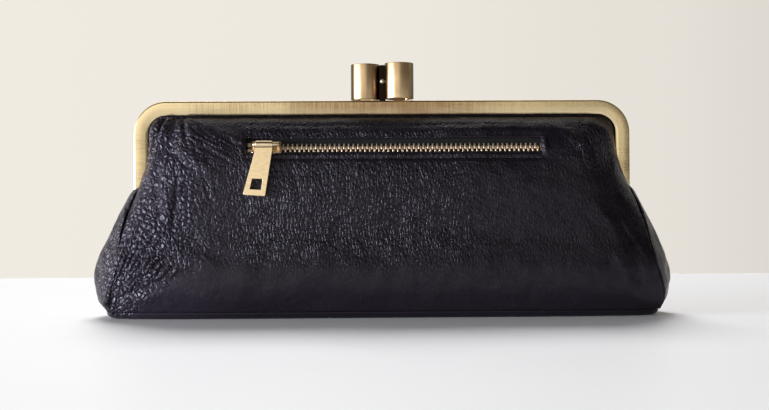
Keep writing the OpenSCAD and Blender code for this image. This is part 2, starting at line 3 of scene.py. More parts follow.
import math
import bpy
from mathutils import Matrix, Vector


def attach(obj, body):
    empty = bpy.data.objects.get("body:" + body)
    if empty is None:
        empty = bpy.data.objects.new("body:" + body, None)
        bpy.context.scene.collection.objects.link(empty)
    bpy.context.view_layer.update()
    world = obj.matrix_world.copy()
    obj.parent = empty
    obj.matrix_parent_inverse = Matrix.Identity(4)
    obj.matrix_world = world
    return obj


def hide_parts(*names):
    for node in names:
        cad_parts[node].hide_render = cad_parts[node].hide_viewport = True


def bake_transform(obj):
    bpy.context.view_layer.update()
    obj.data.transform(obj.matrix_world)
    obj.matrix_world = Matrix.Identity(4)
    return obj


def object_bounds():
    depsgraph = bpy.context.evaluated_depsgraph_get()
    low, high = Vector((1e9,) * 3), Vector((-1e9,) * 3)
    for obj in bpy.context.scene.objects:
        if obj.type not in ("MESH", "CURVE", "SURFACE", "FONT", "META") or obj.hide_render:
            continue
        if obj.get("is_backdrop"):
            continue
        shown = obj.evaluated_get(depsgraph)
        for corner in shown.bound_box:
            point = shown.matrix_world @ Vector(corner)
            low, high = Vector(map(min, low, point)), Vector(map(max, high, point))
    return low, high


bl_info = {
    "name": "Kiss lock frame purse",
    "version": (1, 0, 0),
    "blender": (4, 5, 0),
    "location": "3D View > Sidebar > Purse",
    "description": "Makes the leather, lining, brass and zip of a kiss lock frame purse",
    "category": "Add Mesh",
}

import bmesh
import bpy
from bpy.props import FloatProperty, FloatVectorProperty, IntProperty, PointerProperty
from mathutils import Matrix, Vector, noise
from mathutils.bvhtree import BVHTree

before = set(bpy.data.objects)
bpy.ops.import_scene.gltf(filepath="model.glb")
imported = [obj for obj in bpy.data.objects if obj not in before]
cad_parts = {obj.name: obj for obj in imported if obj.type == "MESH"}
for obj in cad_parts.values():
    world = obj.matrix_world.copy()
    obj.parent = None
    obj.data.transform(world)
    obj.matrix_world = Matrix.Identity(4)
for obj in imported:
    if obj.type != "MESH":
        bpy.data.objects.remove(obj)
CAD_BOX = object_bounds()
MM = 0.001


def linear(code):
    """Turns an sRGB hex colour into linear RGBA."""
    parts = [int(code[i : i + 2], 16) / 255 for i in (1, 3, 5)]
    return tuple(c / 12.92 if c <= 0.04045 else ((c + 0.055) / 1.055) ** 2.4 for c in parts) + (1.0,)


def colour_property(name, description, code):
    return FloatVectorProperty(
        name=name, description=description, subtype="COLOR", size=4, min=0, max=1, default=linear(code)
    )


def size_property(name, description, default, low, high, kind=FloatProperty):
    return kind(name=name, description=description, default=default, min=low, max=high)


class PurseSizes(bpy.types.PropertyGroup):
    """Sizes of the leather's relief and grain, in millimetres."""

    leather: size_property("Leather", "Thickness of the leather, mm", 1.4, 1, 2)
    folds: size_property("Folds", "Share of the full depth of folds", 1.0, 0, 1.5)
    pebble: size_property("Pebble", "Size of one pebble of the grain, mm", 2.0, 0.5, 4)
    columns: size_property("Columns", "Columns of the leather's grid", 286, 60, 320, IntProperty)
    rows: size_property("Rows", "Rows of the leather's grid", 112, 30, 140, IntProperty)
    stitch: size_property("Stitch", "Length of one stitch, mm", 2.6, 1, 5)
    pull_lean: size_property("Pull lean", "How far the pull hangs askew, mm", 4.8, 0, 6)


class PurseColours(bpy.types.PropertyGroup):
    """Colours of the purse's finishes."""

    leather: colour_property("Leather", "Colour of the pebbles' tops", "#0f0c13")
    creases: colour_property("Leather creases", "Colour between the pebbles", "#060508")
    brass: colour_property("Brass", "Colour of the brushed frame", "#ead6aa")
    clasp: colour_property("Clasp", "Colour of the clasp's tubes", "#e4c69a")
    bronze: colour_property("Bronze", "Colour of the frame's antique patina", "#b39671")
    gold: colour_property("Gold", "Colour of the zip's plated metal", "#f8e1b9")
    steel: colour_property("Steel", "Colour of the catch bead", "#d8cabb")
    lining: colour_property("Lining", "Colour of the lining cloth", "#2b2a2e")
    tape: colour_property("Tape", "Colour of the zip tapes", "#161618")
    card: colour_property("Card", "Colour of the board and the crimp cord", "#9b8660")
    wall: colour_property("Wall", "Colour of the wall", "#e9e4db")
    table: colour_property("Table", "Colour of the table", "#f3f3f5")


# Sizes of the purse, in millimetres, as the solids have them
SIDE_X = 125.0
FRAME_TOP = 108.0
BAND = 7.2
CORNER_R = 16.5
BEND_X = SIDE_X - CORNER_R
BEND_Z = FRAME_TOP - CORNER_R
SEEN_R = 8.6  # of the bend's inner side, where the leather comes out
GRIP_R = 12.1  # of the leather's own edge, inside the bend
FACE_Y = -6.15
LEG_END = 52.5
HINGE_Z = 46.0
MOUTH_Z = 99.2
FOLD_Z = 31.0
DEPTH_Z = 84.0
SEAM_Z = 3.5
BELLY = 26.4
MOUTH_DEPTH = 6.5
FOLD_END = 22.5
EDGE_IN = 4.6
STEP = 2.2
LEG_X = 117.1
GUSSET_TOP = 64.0
RIM_Z = 3.2
BASE_X = 137.6
BASE_Y = 26.6
TUBE_R = 7.3
TUBE_X = 8.55
TUBE_LEAN = 3.0
TUBE_Z = 108.9
TUBE_H = 18.1
ZIP_X = 6.1
ZIP_Z = 84.2
ZIP_LEN = 147.4
ZIP_LEFT = ZIP_X - ZIP_LEN / 2
ZIP_RIGHT = ZIP_X + ZIP_LEN / 2
ZIP_SINK = 2.7
WINDOW_H = 9.6
LIP_OVER = 1.6
LIP_H = 3.7
WELT_Z = 78.3
TOOTH_PITCH = 2.3
SLIDER_X = -57.35
SLIDER_LEN = 14.5
BAR_OUT = 2.6
PULL_X = -58.3
PULL_LEN = 25.2
POCKET_LOW = 41.0
POCKET_TOP = ZIP_Z + 9.5
LINING_TOP = 94.6
CLOTH = 0.5  # its thickness

# Depth of the finishes' relief in millimetres, and a wave texture's scale for bands 1 mm apart
GRAIN_DEPTH = 0.8
BRUSHED = 0.05
WAVE = 314.16

# Steps round the frame's bends and round the trays
BEND_STEPS = 26
TRAY_POINTS = 220


# Shares, blends and the outer form of the pouch at each height


def share(z, low, high):
    return max(0.0, min(1.0, (z - low) / (high - low)))


def smooth(t):
    return t * t * (3 - 2 * t)


def mix(a, b, t):
    return a + (b - a) * t


def fall(z):
    return 1 - share(z, SEAM_Z, FOLD_Z)


def upper_mid(z):
    return MOUTH_DEPTH + (BELLY - MOUTH_DEPTH) * math.sqrt(1 - share(z, FOLD_Z, MOUTH_Z) ** 4)


def upper_end(z):
    return EDGE_IN + (FOLD_END - EDGE_IN) * (1 - share(z, FOLD_Z, DEPTH_Z)) ** 0.8


def rise(z):
    """How far the leather swells as it leaves the legs' channel."""
    return 1.7 * smooth(share(z, 70, 80))


def half_depth(z):
    """How far the panel's middle stands out from the frame's plane."""
    low = BELLY + STEP + 0.7 * math.sin(math.pi * fall(z)) - 1.4 * fall(z) ** 3
    return mix(low, upper_mid(z), smooth(share(z, 20, 46)))


def end_depth(z):
    """How far the panel's ends stand out from the frame's plane."""
    low = FOLD_END + STEP - 3.6 * fall(z) ** 2
    return mix(low, upper_end(max(z, FOLD_Z)), smooth(share(z, 24, 40)))


# Half widths of the panels at rising heights, read off the seams beside the gussets
LEFT_EDGE = (
    (3.5, 134.6), (7, 136.1), (13, 135.2), (20, 132.9), (28, 130.6), (36, 129.2), (44, 127.9),
    (52.5, 125.7), (61, 122.5), (70, 119.4), (78, 117.5), (86, LEG_X), (92, LEG_X),
)
RIGHT_EDGE = (
    (3.5, 135.4), (8, 137.3), (14, 137.2), (20, 135.6), (27, 133.3), (35, 131.6), (44, 130.0),
    (54, 127.0), (65, 122.8), (74, 119.4), (82, 117.5), (88, LEG_X), (92, LEG_X),
)
# Half widths from the middle of one gusset to the middle of the other
GUSSET_OUT = (
    (3.2, 138.2), (8, 142.3), (14, 144.5), (21, 145.0), (27.4, 144.0), (33.5, 141.6), (41.5, 137.6),
    (51.6, 132.8), (58.6, 128.9), (64, 126.6), (70, 126.0),
)


def along(table, z):
    """A smooth curve through a table of (height, value)."""
    z = max(table[0][0], min(table[-1][0], z))
    k = next(i for i in range(len(table) - 1) if z <= table[i + 1][0])
    (z0, v0), (z1, v1) = table[k], table[k + 1]
    before = table[max(0, k - 1)]
    after = table[min(len(table) - 1, k + 2)]
    m0 = (v1 - before[1]) / (z1 - before[0])
    m1 = (after[1] - v0) / (after[0] - z0)
    h = z1 - z0
    t = (z - z0) / h
    return (
        (2 * t**3 - 3 * t**2 + 1) * v0 + (t**3 - 2 * t**2 + t) * h * m0
        + (3 * t**2 - 2 * t**3) * v1 + (t**3 - t**2) * h * m1
    )


def side_edge(z, left_front=False):
    """Half width of a panel. The front panel's left edge lies a little further in."""
    if z > BEND_Z:
        return BEND_X + math.sqrt(max(0.0, SEEN_R**2 - (z - BEND_Z) ** 2))
    return along(LEFT_EDGE if left_front else RIGHT_EDGE, z)


def channel_edge(z):
    """Half width of the leather that is gripped in the legs' and corners' channel."""
    if z > BEND_Z:
        return BEND_X + math.sqrt(max(0.0, GRIP_R**2 - (z - BEND_Z) ** 2))
    return BEND_X + GRIP_R


ZIP_SLOPE = math.atan((upper_mid(ZIP_Z - 3) - upper_mid(ZIP_Z + 3)) / 6)
WINDOW_HALF = WINDOW_H / 2 * math.cos(ZIP_SLOPE)
# From the zip's own line, X along the chain, Y into the purse and Z up the leather
ON_ZIP = Matrix.Translation((0, -upper_mid(ZIP_Z), ZIP_Z)) @ Matrix.Rotation(-ZIP_SLOPE, 4, "X")
MIRROR_Y = Matrix.Scale(-1, 4, (0, 1, 0))
MIRROR_X = Matrix.Scale(-1, 4, (1, 0, 0))


def distance_to_line(x, z, points):
    """The nearest distance to a broken line, and the share of the way along it."""
    best, where = 1e9, 0.0
    count = len(points) - 1
    for k in range(count):
        ax, az = points[k]
        bx, bz = points[k + 1]
        dx, dz = bx - ax, bz - az
        t = max(0.0, min(1.0, ((x - ax) * dx + (z - az) * dz) / (dx * dx + dz * dz)))
        d = math.hypot(x - ax - t * dx, z - az - t * dz)
        if d < best:
            best, where = d, (k + t) / count
    return best, where


def relief(x, z, folds):
    """Sum of soft folds. Each is a line with a width and a height that fades at its ends."""
    total = 0.0
    for points, width, height in folds:
        d, t = distance_to_line(x, z, points)
        if d < 3 * width:
            total += height * math.exp(-((d / width) ** 2)) * math.sin(math.pi * (0.12 + 0.76 * t)) ** 0.7
    return total


def stretch_marks(x, z, line, reach, spacing, height, seed):
    """A band of wrinkles side by side, which run the way the line runs. Each is round on top
    and sharp in its valleys, and they wander and break off."""
    d, t = distance_to_line(x, z, line)
    if d > 2.2 * reach:
        return 0.0
    (x0, z0), (x1, z1) = line[0], line[-1]
    size = math.hypot(x1 - x0, z1 - z0)
    ux, uz = (x1 - x0) / size, (z1 - z0) / size
    on, off = (x - x0) * ux + (z - z0) * uz, (z - z0) * ux - (x - x0) * uz
    wander = 0.9 * noise.noise(Vector((on * 0.06, off * 0.16, seed)))
    wave = 2 * abs(math.sin(math.pi * (off / spacing + wander))) ** 0.7 - 1
    broken = max(0.0, 0.75 + 0.9 * noise.noise(Vector((on * 0.09, off * 0.3, seed + 3))))
    return height * wave * broken * math.exp(-((d / reach) ** 2)) * math.sin(math.pi * (0.1 + 0.8 * t)) ** 0.7


def fan(x, z, centre, angles, radii, count, height, seed):
    """Wrinkles that spread from a pulled corner like a fan."""
    dx, dz = x - centre[0], z - centre[1]
    r, a = math.hypot(dx, dz), math.degrees(math.atan2(dz, dx))
    across = share(a, angles[0], angles[0] + 14) * share(-a, -angles[1], -angles[1] + 14)
    out = smooth(share(r, radii[0], radii[0] + 6)) * smooth(share(-r, -radii[1], -radii[1] + 14))
    if across * out <= 0:
        return 0.0
    turn = (a - angles[0]) / (angles[1] - angles[0]) * count
    wander = 0.8 * noise.noise(Vector((r * 0.1, a * 0.06, seed)))
    wave = 2 * abs(math.sin(math.pi * (turn + wander))) ** 0.7 - 1
    broken = max(0.0, 0.75 + 0.9 * noise.noise(Vector((r * 0.12, a * 0.12, seed + 3))))
    return height * wave * broken * across * out


def front_wrinkles(x, z):
    """Wrinkles where the front leather is stretched round the frame's corners and the base."""
    total = 0.0
    if x < -60:
        total += stretch_marks(x, z, [(-99, 94.5), (-88, 88.5), (-73, 81)], 5.0, 2.7, 0.8, 2.0)
        total += stretch_marks(x, z, [(-105, 80), (-104.5, 66), (-106.5, 50)], 6.0, 4.2, 0.6, 5.0)
        total += stretch_marks(x, z, [(-90, 78), (-85, 66), (-84, 54)], 6.5, 3.4, 0.3, 8.0)
        total += fan(x, z, (-138, 1.0), (24, 80), (12, 56), 12, 0.7, 11.0)
    if x > 60:
        total += stretch_marks(x, z, [(98, 88), (104, 78), (106, 64)], 6.0, 3.2, 0.22, 14.0)
        total += stretch_marks(x, z, [(115, 52), (121, 38), (127, 26)], 4.5, 3.4, 0.26, 17.0)
    return total


def rear_wrinkles(x, z):
    side = -1 if x < 0 else 1
    return stretch_marks(
        side * x, z, [(101, 94), (91, 86), (80, 77)], 5.0, 2.8, 0.28, 21.0 + side
    ) + fan(side * x, z, (136.5, 2.0), (98, 158), (9, 46), 12, 0.32, 24.0 + side)


# Folds of the front panel in the photograph, from the frame's left corner round to the right
FRONT_FOLDS = [
    # the fold beside the left leg, the sharp crease outside it and the small lobe beyond
    ([(-106.4, 98.6), (-108.4, 93), (-110.2, 86.5), (-112.6, 78), (-115, 70)], 1.9, 2.0),
    ([(-109.0, 98.8), (-111.0, 93), (-112.9, 86.5), (-115.0, 78)], 0.95, -3.0),
    ([(-112.6, 97.4), (-114.9, 92), (-116.1, 84)], 1.5, 1.5),
    # the flat facet between the fold and the first crease
    ([(-103, 97.5), (-103.5, 90), (-105, 82)], 2.6, -1.2),
    ([(-99.6, 98.5), (-98.6, 94), (-97.0, 89)], 0.95, -1.7),
    ([(-97.3, 98.5), (-96.0, 94), (-94.2, 89)], 1.4, 1.1),
    # gathers that run down from the corner
    ([(-103, 88), (-98, 82), (-91, 77), (-84, 72)], 2.2, 0.7),
    ([(-105, 84), (-99, 77), (-92, 71)], 1.5, -0.6),
    ([(-95, 97), (-84, 93.5), (-74, 89.5), (-69.5, 87)], 1.6, 0.5),
    # soft upright wrinkles below the fold
    ([(-112, 76), (-111, 62), (-109, 46)], 1.8, -0.7),
    ([(-107.5, 76), (-106, 62), (-107, 46)], 1.8, 0.7),
    ([(-101.5, 74), (-101, 58), (-103, 44)], 1.3, -0.7),
    ([(-118, 68), (-121, 54), (-124, 42)], 2.6, 0.8),
    # the pull towards the lower left corner
    ([(-112, 44), (-100, 33), (-84, 27)], 3.4, 0.7),
    ([(-130.5, 9), (-121, 14), (-108, 19), (-92, 24)], 1.9, -0.7),
    ([(-128.5, 5.6), (-119, 9.5), (-106, 13)], 3.0, 0.6),
    # the shoulder under the top bar
    ([(-92, 96.6), (-40, 96.2), (20, 95.8), (70, 95.6), (104, 96)], 2.0, 0.5),
    ([(-66, 92.4), (0, 92.0), (40, 92.3), (70, 92.8), (92, 91.5)], 2.1, 0.55),
    ([(-70, 94.9), (0, 94.6), (70, 94.9)], 0.9, -0.35),
    ([(104, 96), (110.5, 92), (114, 84), (115.5, 74)], 2.6, 1.2),
    ([(98, 94), (101, 88), (104, 80), (106, 70)], 1.8, -0.6),
    ([(84, 94), (92, 90), (99, 83)], 2.0, 0.5),
    # the welt under the zip, with the seam that holds it
    ([(-68, 80.5), (-66, 78.4), (0, 78.3), (76, 78.3), (80, 80.5)], 0.62, -0.85),
    ([(-70, 79.8), (0, 79.9), (79, 79.8)], 0.9, 0.3),
    ([(-69.2, 89), (-69.2, 80.4)], 0.8, 0.9),
    ([(79.6, 88.6), (79.9, 80.4)], 0.8, 1.1),
    # soft dents across the middle
    ([(-60, 66), (-20, 61), (30, 62), (70, 58)], 9.0, 0.5),
    ([(-80, 48), (-30, 44), (30, 46), (90, 40)], 8.0, -0.5),
    ([(20, 54), (60, 47), (104, 44)], 6.0, 0.5),
    ([(112, 66), (116, 52), (119, 40)], 2.4, -0.5),
    ([(104, 56), (112, 44), (118, 30)], 3.0, 0.6),
    ([(122, 36), (125, 24), (127, 12)], 2.4, -0.6),
    ([(112, 34), (118, 22), (122, 10)], 2.6, 0.5),
    ([(-45, 74), (-41, 62), (-42, 50)], 1.6, -0.35),
]

# The rear panel hangs more plainly, with gathers in both corners
REAR_CORNER = (
    ([(106, 98), (111, 91), (114, 83), (116, 73)], 3.0, 1.4),
    ([(104, 96), (96, 87), (90, 74), (88, 60)], 1.9, -0.7),
    ([(100, 96), (86, 89), (74, 82), (66, 72)], 1.8, -0.5),
    ([(127, 36), (120, 25), (113, 14)], 2.2, -0.7),
)
REAR_FOLDS = [
    ([(side * x, z) for x, z in points], width, height)
    for points, width, height in REAR_CORNER
    for side in (-1, 1)
] + [
    ([(-96, 95.4), (-30, 95), (40, 95), (100, 95.2)], 3.2, 0.8),
    ([(-70, 70), (-10, 65), (60, 68)], 9.0, 0.6),
    ([(-80, 46), (0, 42), (80, 47)], 8.0, -0.5),
    ([(-50, 88), (0, 84), (50, 88)], 4.0, 0.4),
]

GUSSET_FOLDS = [
    ([(3, 56), (6, 44), (10, 32), (14, 20)], 2.2, -0.8),
    ([(9, 50), (12, 38), (15, 27)], 1.8, 0.5),
    ([(4, 30), (10, 24), (18, 21)], 2.0, -0.6),
    ([(6, 16), (12, 13), (19, 12)], 2.0, -0.5),
    ([(2, 10), (9, 8), (18, 7)], 1.6, 0.4),
]


# Materials


def add_node(tree, kind, inputs=None, **settings):
    """Adds a node with its settings. An input that is a socket is linked, and any other is set."""
    made = tree.nodes.new(kind)
    for name, value in settings.items():
        setattr(made, name, value)
    for name, value in (inputs or {}).items():
        if isinstance(value, bpy.types.NodeSocket):
            tree.links.new(value, made.inputs[name])
        else:
            made.inputs[name].default_value = value
    return made


def ramp(tree, factor, stops, ease="LINEAR"):
    """A colour ramp. The first two stops take the elements that a new ramp has, and a colour
    is a hex code, a grey value or RGBA."""
    made = add_node(tree, "ShaderNodeValToRGB", {"Fac": factor})
    made.color_ramp.interpolation = ease
    for place, colour in stops[2:]:
        made.color_ramp.elements.new(place)
    for element, (place, colour) in zip(made.color_ramp.elements, sorted(stops, key=lambda s: s[0])):
        if isinstance(colour, str):
            colour = linear(colour)
        elif isinstance(colour, float):
            colour = (colour, colour, colour, 1)
        element.position = place
        element.color = colour
    return made.outputs["Color"]


def math_node(tree, operation, first, second=0.0, clamp=False):
    return add_node(
        tree, "ShaderNodeMath", {0: first, 1: second}, operation=operation, use_clamp=clamp
    ).outputs[0]


def plus(tree, first, second):
    return math_node(tree, "ADD", first, second)


def minus(tree, first, second):
    return math_node(tree, "SUBTRACT", first, second)


def times(tree, first, second):
    return math_node(tree, "MULTIPLY", first, second)


def size_of(tree, value):
    return math_node(tree, "ABSOLUTE", value)


def ranged(tree, value, low, high, to_low=0.0, to_high=1.0, ease="SMOOTHSTEP"):
    """Maps a value between two limits to one between two others."""
    return add_node(
        tree,
        "ShaderNodeMapRange",
        {"Value": value, "From Min": low, "From Max": high, "To Min": to_low, "To Max": to_high},
        interpolation_type=ease,
    ).outputs["Result"]


def blended(tree, factor, first, second, kind="RGBA", **settings):
    return add_node(
        tree, "ShaderNodeMix", {"Factor": factor, "A": first, "B": second}, data_type=kind, **settings
    ).outputs["Result"]


def vector_node(tree, operation, inputs):
    return add_node(tree, "ShaderNodeVectorMath", inputs, operation=operation).outputs


def clouds(tree, vector, scale, detail):
    return add_node(tree, "ShaderNodeTexNoise", {"Vector": vector, "Scale": scale, "Detail": detail}).outputs


def split(tree, vector):
    return add_node(tree, "ShaderNodeSeparateXYZ", {"Vector": vector}).outputs


def object_coords(tree, scale=(1, 1, 1), turn=(0, 0, 0)):
    coords = add_node(tree, "ShaderNodeTexCoord").outputs["Object"]
    return add_node(
        tree, "ShaderNodeMapping", {"Vector": coords, "Scale": scale, "Rotation": turn}
    ).outputs["Vector"]


def tint(colour, factor):
    return tuple(min(1.0, c * factor) for c in colour[:3]) + (1.0,)


def new_material(name, shader_values):
    """A material whose uniform values sit on the shader's own sockets."""
    material = bpy.data.materials.new(name)
    material.use_nodes = True
    tree = material.node_tree
    shader = tree.nodes["Principled BSDF"]
    for key, value in shader_values.items():
        shader.inputs[key].default_value = value
    return material, tree, shader


def wire(tree, shader, colour, rough, height, strength, distance):
    """Links a finish's colour, roughness and relief to its shader. The distance is in mm."""
    bump = add_node(
        tree, "ShaderNodeBump", {"Height": height, "Strength": strength, "Distance": distance * MM}
    )
    tree.links.new(colour, shader.inputs["Base Color"])
    tree.links.new(rough, shader.inputs["Roughness"])
    tree.links.new(bump.outputs["Normal"], shader.inputs["Normal"])


def show(tree, factor, first, second):
    """Sends a mix of two shaders to the material's output."""
    both = add_node(tree, "ShaderNodeMixShader", {0: factor, 1: first, 2: second})
    tree.links.new(both.outputs["Shader"], tree.nodes["Material Output"].inputs["Surface"])


def pebbled_leather(name, colours, pebble):
    """Black full-grain leather. Rounded pebbles catch small glints, and the valleys between
    them stay matt and nearly black, so that the leather reads as soft and grained."""
    material, tree, shader = new_material(
        name, {"Specular IOR Level": 0.38, "Specular Tint": linear("#f3ecff")}
    )
    place = object_coords(tree)
    across = split(tree, place)["X"]
    drift = clouds(tree, place, 190, 2)["Color"]
    wander = vector_node(tree, "SUBTRACT", {0: drift, 1: (0.5, 0.5, 0.5)})[0]
    wander = vector_node(tree, "SCALE", {0: wander, "Scale": 0.003})[0]
    bent = vector_node(tree, "ADD", {0: place, 1: wander})[0]
    upright = add_node(tree, "ShaderNodeMapping", {"Vector": bent, "Scale": (1.3, 1.0, 0.72)}).outputs["Vector"]
    round_cells, long_cells = (
        add_node(
            tree,
            "ShaderNodeTexVoronoi",
            {"Vector": where, "Scale": 1 / MM / size, "Randomness": 0.95},
            feature="DISTANCE_TO_EDGE",
        ).outputs["Distance"]
        for where, size in ((bent, pebble * 1.35), (upright, pebble))
    )
    # Round pebbles lie at the slack left side, and longer upright ones where the middle is pulled
    pulled = ranged(tree, across, -0.102, -0.062)
    cells = blended(tree, pulled, round_cells, long_cells, "FLOAT")
    domes = ramp(tree, cells, [(0.0, 0.0), (0.44, 1.0), (0.07, 0.3)])
    pores = clouds(tree, place, 2300, 3)["Fac"]
    # The grain is pulled flat towards the base and in patches, but not at the left corner
    patches = clouds(tree, place, 24, 3)["Fac"]
    left = times(tree, minus(tree, -0.1, across), 0.9)
    level = plus(tree, split(tree, place)["Z"], math_node(tree, "MAXIMUM", left, 0.0))
    taut = ranged(tree, level, 0.015, 0.037, 0.1, 1.0)
    loose = times(tree, plus(tree, times(tree, patches, 0.7), 0.6), taut)
    # The hide is slacker at the left and firmer at the right, but for one spot in the corner
    slack = ranged(tree, across, -0.11, -0.068, 1.15, 0.46)
    firm = ranged(tree, across, 0.015, 0.075, 0.0, 0.24)
    spot = vector_node(tree, "DISTANCE", {0: place, 1: (0.1015, -0.013, 0.0815)})["Value"]
    spot = ranged(tree, spot, 0.004, 0.017, 0.8, 0.0, "LINEAR")
    loose = times(tree, loose, plus(tree, minus(tree, slack, firm), spot))
    # Painted light: the leather's colour is made lighter at the left corner and on the leather low down, as if
    # more light fell there
    painted_light_left_low = ranged(tree, across, -0.114, -0.06, 3.0, 1.0)
    painted_light_left_low = plus(tree, painted_light_left_low, minus(tree, 1.0, taut))
    grain = plus(tree, times(tree, domes, 0.8), times(tree, pores, 0.24))
    colour = ramp(
        tree, grain, [(0.05, colours.creases[:]), (0.95, tint(colours.leather, 1.3)), (0.6, colours.leather[:])]
    )
    # The leather's colour is scaled up by the painted light above
    colour = vector_node(tree, "SCALE", {0: colour, "Scale": painted_light_left_low})[0]
    rough = minus(tree, 0.36, times(tree, grain, 0.12))
    rough = plus(tree, rough, times(tree, minus(tree, patches, 0.5), 0.2))
    wire(tree, shader, colour, rough, times(tree, grain, loose), 1.0, GRAIN_DEPTH)
    return material


def antique_brass(name, colours):
    """Antique brass of the frame, brushed across the band, which softens the reflections. Darker patina in
    patches makes it look aged, and the middle of the top bar is painted darker as a painted dark reflection."""
    material, tree, shader = new_material(name, {"Metallic": 1.0})
    lines = clouds(tree, object_coords(tree, (2600, 400, 45)), 1, 3)["Fac"]
    place = split(tree, object_coords(tree))
    across = minus(tree, size_of(tree, place["X"]), BEND_X * MM)
    up = minus(tree, place["Z"], BEND_Z * MM)
    on_leg = math_node(tree, "MULTIPLY", minus(tree, across, up), 400, clamp=True)
    leg_lines = clouds(tree, object_coords(tree, (45, 400, 2600)), 1, 3)["Fac"]
    lines = blended(tree, on_leg, lines, leg_lines, "FLOAT")
    # The middle of the top bar is painted darker, a painted dark reflection
    middle = ranged(tree, size_of(tree, plus(tree, place["X"], 0.003)), 0.02, 0.11, 0.25, 0.0)
    age = minus(tree, patina(tree, lines), middle)
    colour = brass_colour(tree, age, colours.bronze, colours.brass)
    wire(tree, shader, colour, plus(tree, 0.15, times(tree, lines, 0.14)), lines, 0.25, BRUSHED)
    return material


def satin_brass(name, colours):
    """Satin brass of the clasp, brushed upright, so that a tube shows soft upright bands of light. Its sides
    are painted dark brown, a painted shade that makes the tubes look round."""
    material, tree, shader = new_material(name, {"Metallic": 1.0})
    lines = clouds(tree, object_coords(tree, (2600, 2600, 30)), 1, 3)["Fac"]
    age = minus(tree, patina(tree, lines), 0.1)
    colour = brass_colour(tree, age, colours.bronze, colours.clasp)
    # Painted shade: both sides of each tube, as seen from the front, are darkened to brown
    painted_dark_flanks = minus(tree, size_of(tree, split(tree, object_coords(tree))["X"]), TUBE_X * MM)
    painted_dark_flanks = ranged(tree, size_of(tree, painted_dark_flanks), 0.005, 0.0065, 0.0, 0.94)
    colour = blended(tree, painted_dark_flanks, colour, linear("#3f2c1c"))
    wire(tree, shader, colour, plus(tree, 0.24, times(tree, lines, 0.14)), lines, 0.25, BRUSHED)
    return material


def patina(tree, lines):
    """How bright a brass has stayed, in lines and in patches."""
    patches = clouds(tree, object_coords(tree, (26, 60, 60)), 1, 4)["Fac"]
    return plus(tree, times(tree, lines, 0.3), times(tree, patches, 0.7))


def brass_colour(tree, age, bronze, brass):
    return ramp(tree, age, [(0.22, bronze[:]), (0.62, tint(brass, 1.06)), (0.46, brass[:])])


def plated(name, colour, rough):
    """Bright plated metal. It is nearly mirror-like, with faint handling marks that break up
    the reflections of the light."""
    material, tree, shader = new_material(name, {"Metallic": 1.0})
    marks = clouds(tree, object_coords(tree, (380, 380, 900)), 1, 5)["Fac"]
    tone = ramp(tree, marks, [(0.3, tint(colour, 0.9)), (0.7, tint(colour, 1.06))])
    wire(tree, shader, tone, plus(tree, rough - 0.04, times(tree, marks, 0.1)), marks, 0.08, BRUSHED)
    return material


def woven(name, colour, thread_width, sheen):
    """Cloth with two sets of threads over and under each other, dull between the threads and
    softly shiny on them."""
    material, tree, shader = new_material(
        name,
        {
            "Sheen Weight": sheen, "Sheen Roughness": 0.5, "Sheen Tint": tint(colour, 3.0),
            "Specular IOR Level": 0.3,
        },
    )
    place = object_coords(tree)
    warp, weft = (
        add_node(
            tree,
            "ShaderNodeTexWave",
            {"Vector": place, "Scale": WAVE / thread_width, "Distortion": 0.4, "Detail": 1},
            bands_direction=way,
        ).outputs["Fac"]
        for way in ("X", "Z")
    )
    weave = math_node(tree, "MAXIMUM", warp, weft)
    tone = plus(tree, times(tree, weave, 0.6), times(tree, clouds(tree, place, 60, 4)["Fac"], 0.4))
    tone = ramp(tree, tone, [(0.2, tint(colour, 0.55)), (0.9, tint(colour, 1.3))])
    wire(tree, shader, tone, minus(tree, 0.95, times(tree, weave, 0.15)), weave, 0.6, 0.1)
    return material


def fibre_card(name, colour):
    """Pressed card and paper cord, pale and matt with short fibres all over."""
    material, tree, shader = new_material(name, {"Specular IOR Level": 0.25})
    fibres = clouds(tree, object_coords(tree, (500, 1800, 1800)), 1, 6)["Fac"]
    tone = ramp(tree, fibres, [(0.3, tint(colour, 0.75)), (0.75, tint(colour, 1.15))])
    wire(tree, shader, tone, plus(tree, 0.8, times(tree, fibres, 0.15)), fibres, 0.5, 0.1)
    return material


def waxed_thread(name, colour):
    """Waxed thread, a little shinier than the leather it lies on, with its twist across it."""
    material, tree, shader = new_material(name, {"Sheen Weight": 0.2, "Sheen Roughness": 0.4})
    twist = add_node(
        tree,
        "ShaderNodeTexWave",
        {"Vector": object_coords(tree, turn=(0, 0.7, 0)), "Scale": 900, "Distortion": 0.5},
        bands_direction="X",
    ).outputs["Fac"]
    tone = ramp(tree, twist, [(0.0, tint(colour, 0.6)), (1.0, tint(colour, 1.6))])
    wire(tree, shader, tone, plus(tree, 0.42, times(tree, twist, 0.15)), twist, 0.5, 0.08)
    return material


def painted(name, colour, rough):
    """A plain painted surface with hardly any mottle. It keeps the purse's soft shadow, and
    from behind it lets the view through."""
    material, tree, shader = new_material(name, {"Roughness": rough, "Specular IOR Level": 0.3})
    mottle = clouds(tree, object_coords(tree), 7, 3)["Fac"]
    tone = ramp(tree, mottle, [(0.3, tint(colour, 0.985)), (0.7, tint(colour, 1.0))])
    tree.links.new(tone, shader.inputs["Base Color"])
    behind = add_node(tree, "ShaderNodeNewGeometry").outputs["Backfacing"]
    clear = add_node(tree, "ShaderNodeBsdfTransparent").outputs["BSDF"]
    show(tree, behind, shader.outputs["BSDF"], clear)
    return material


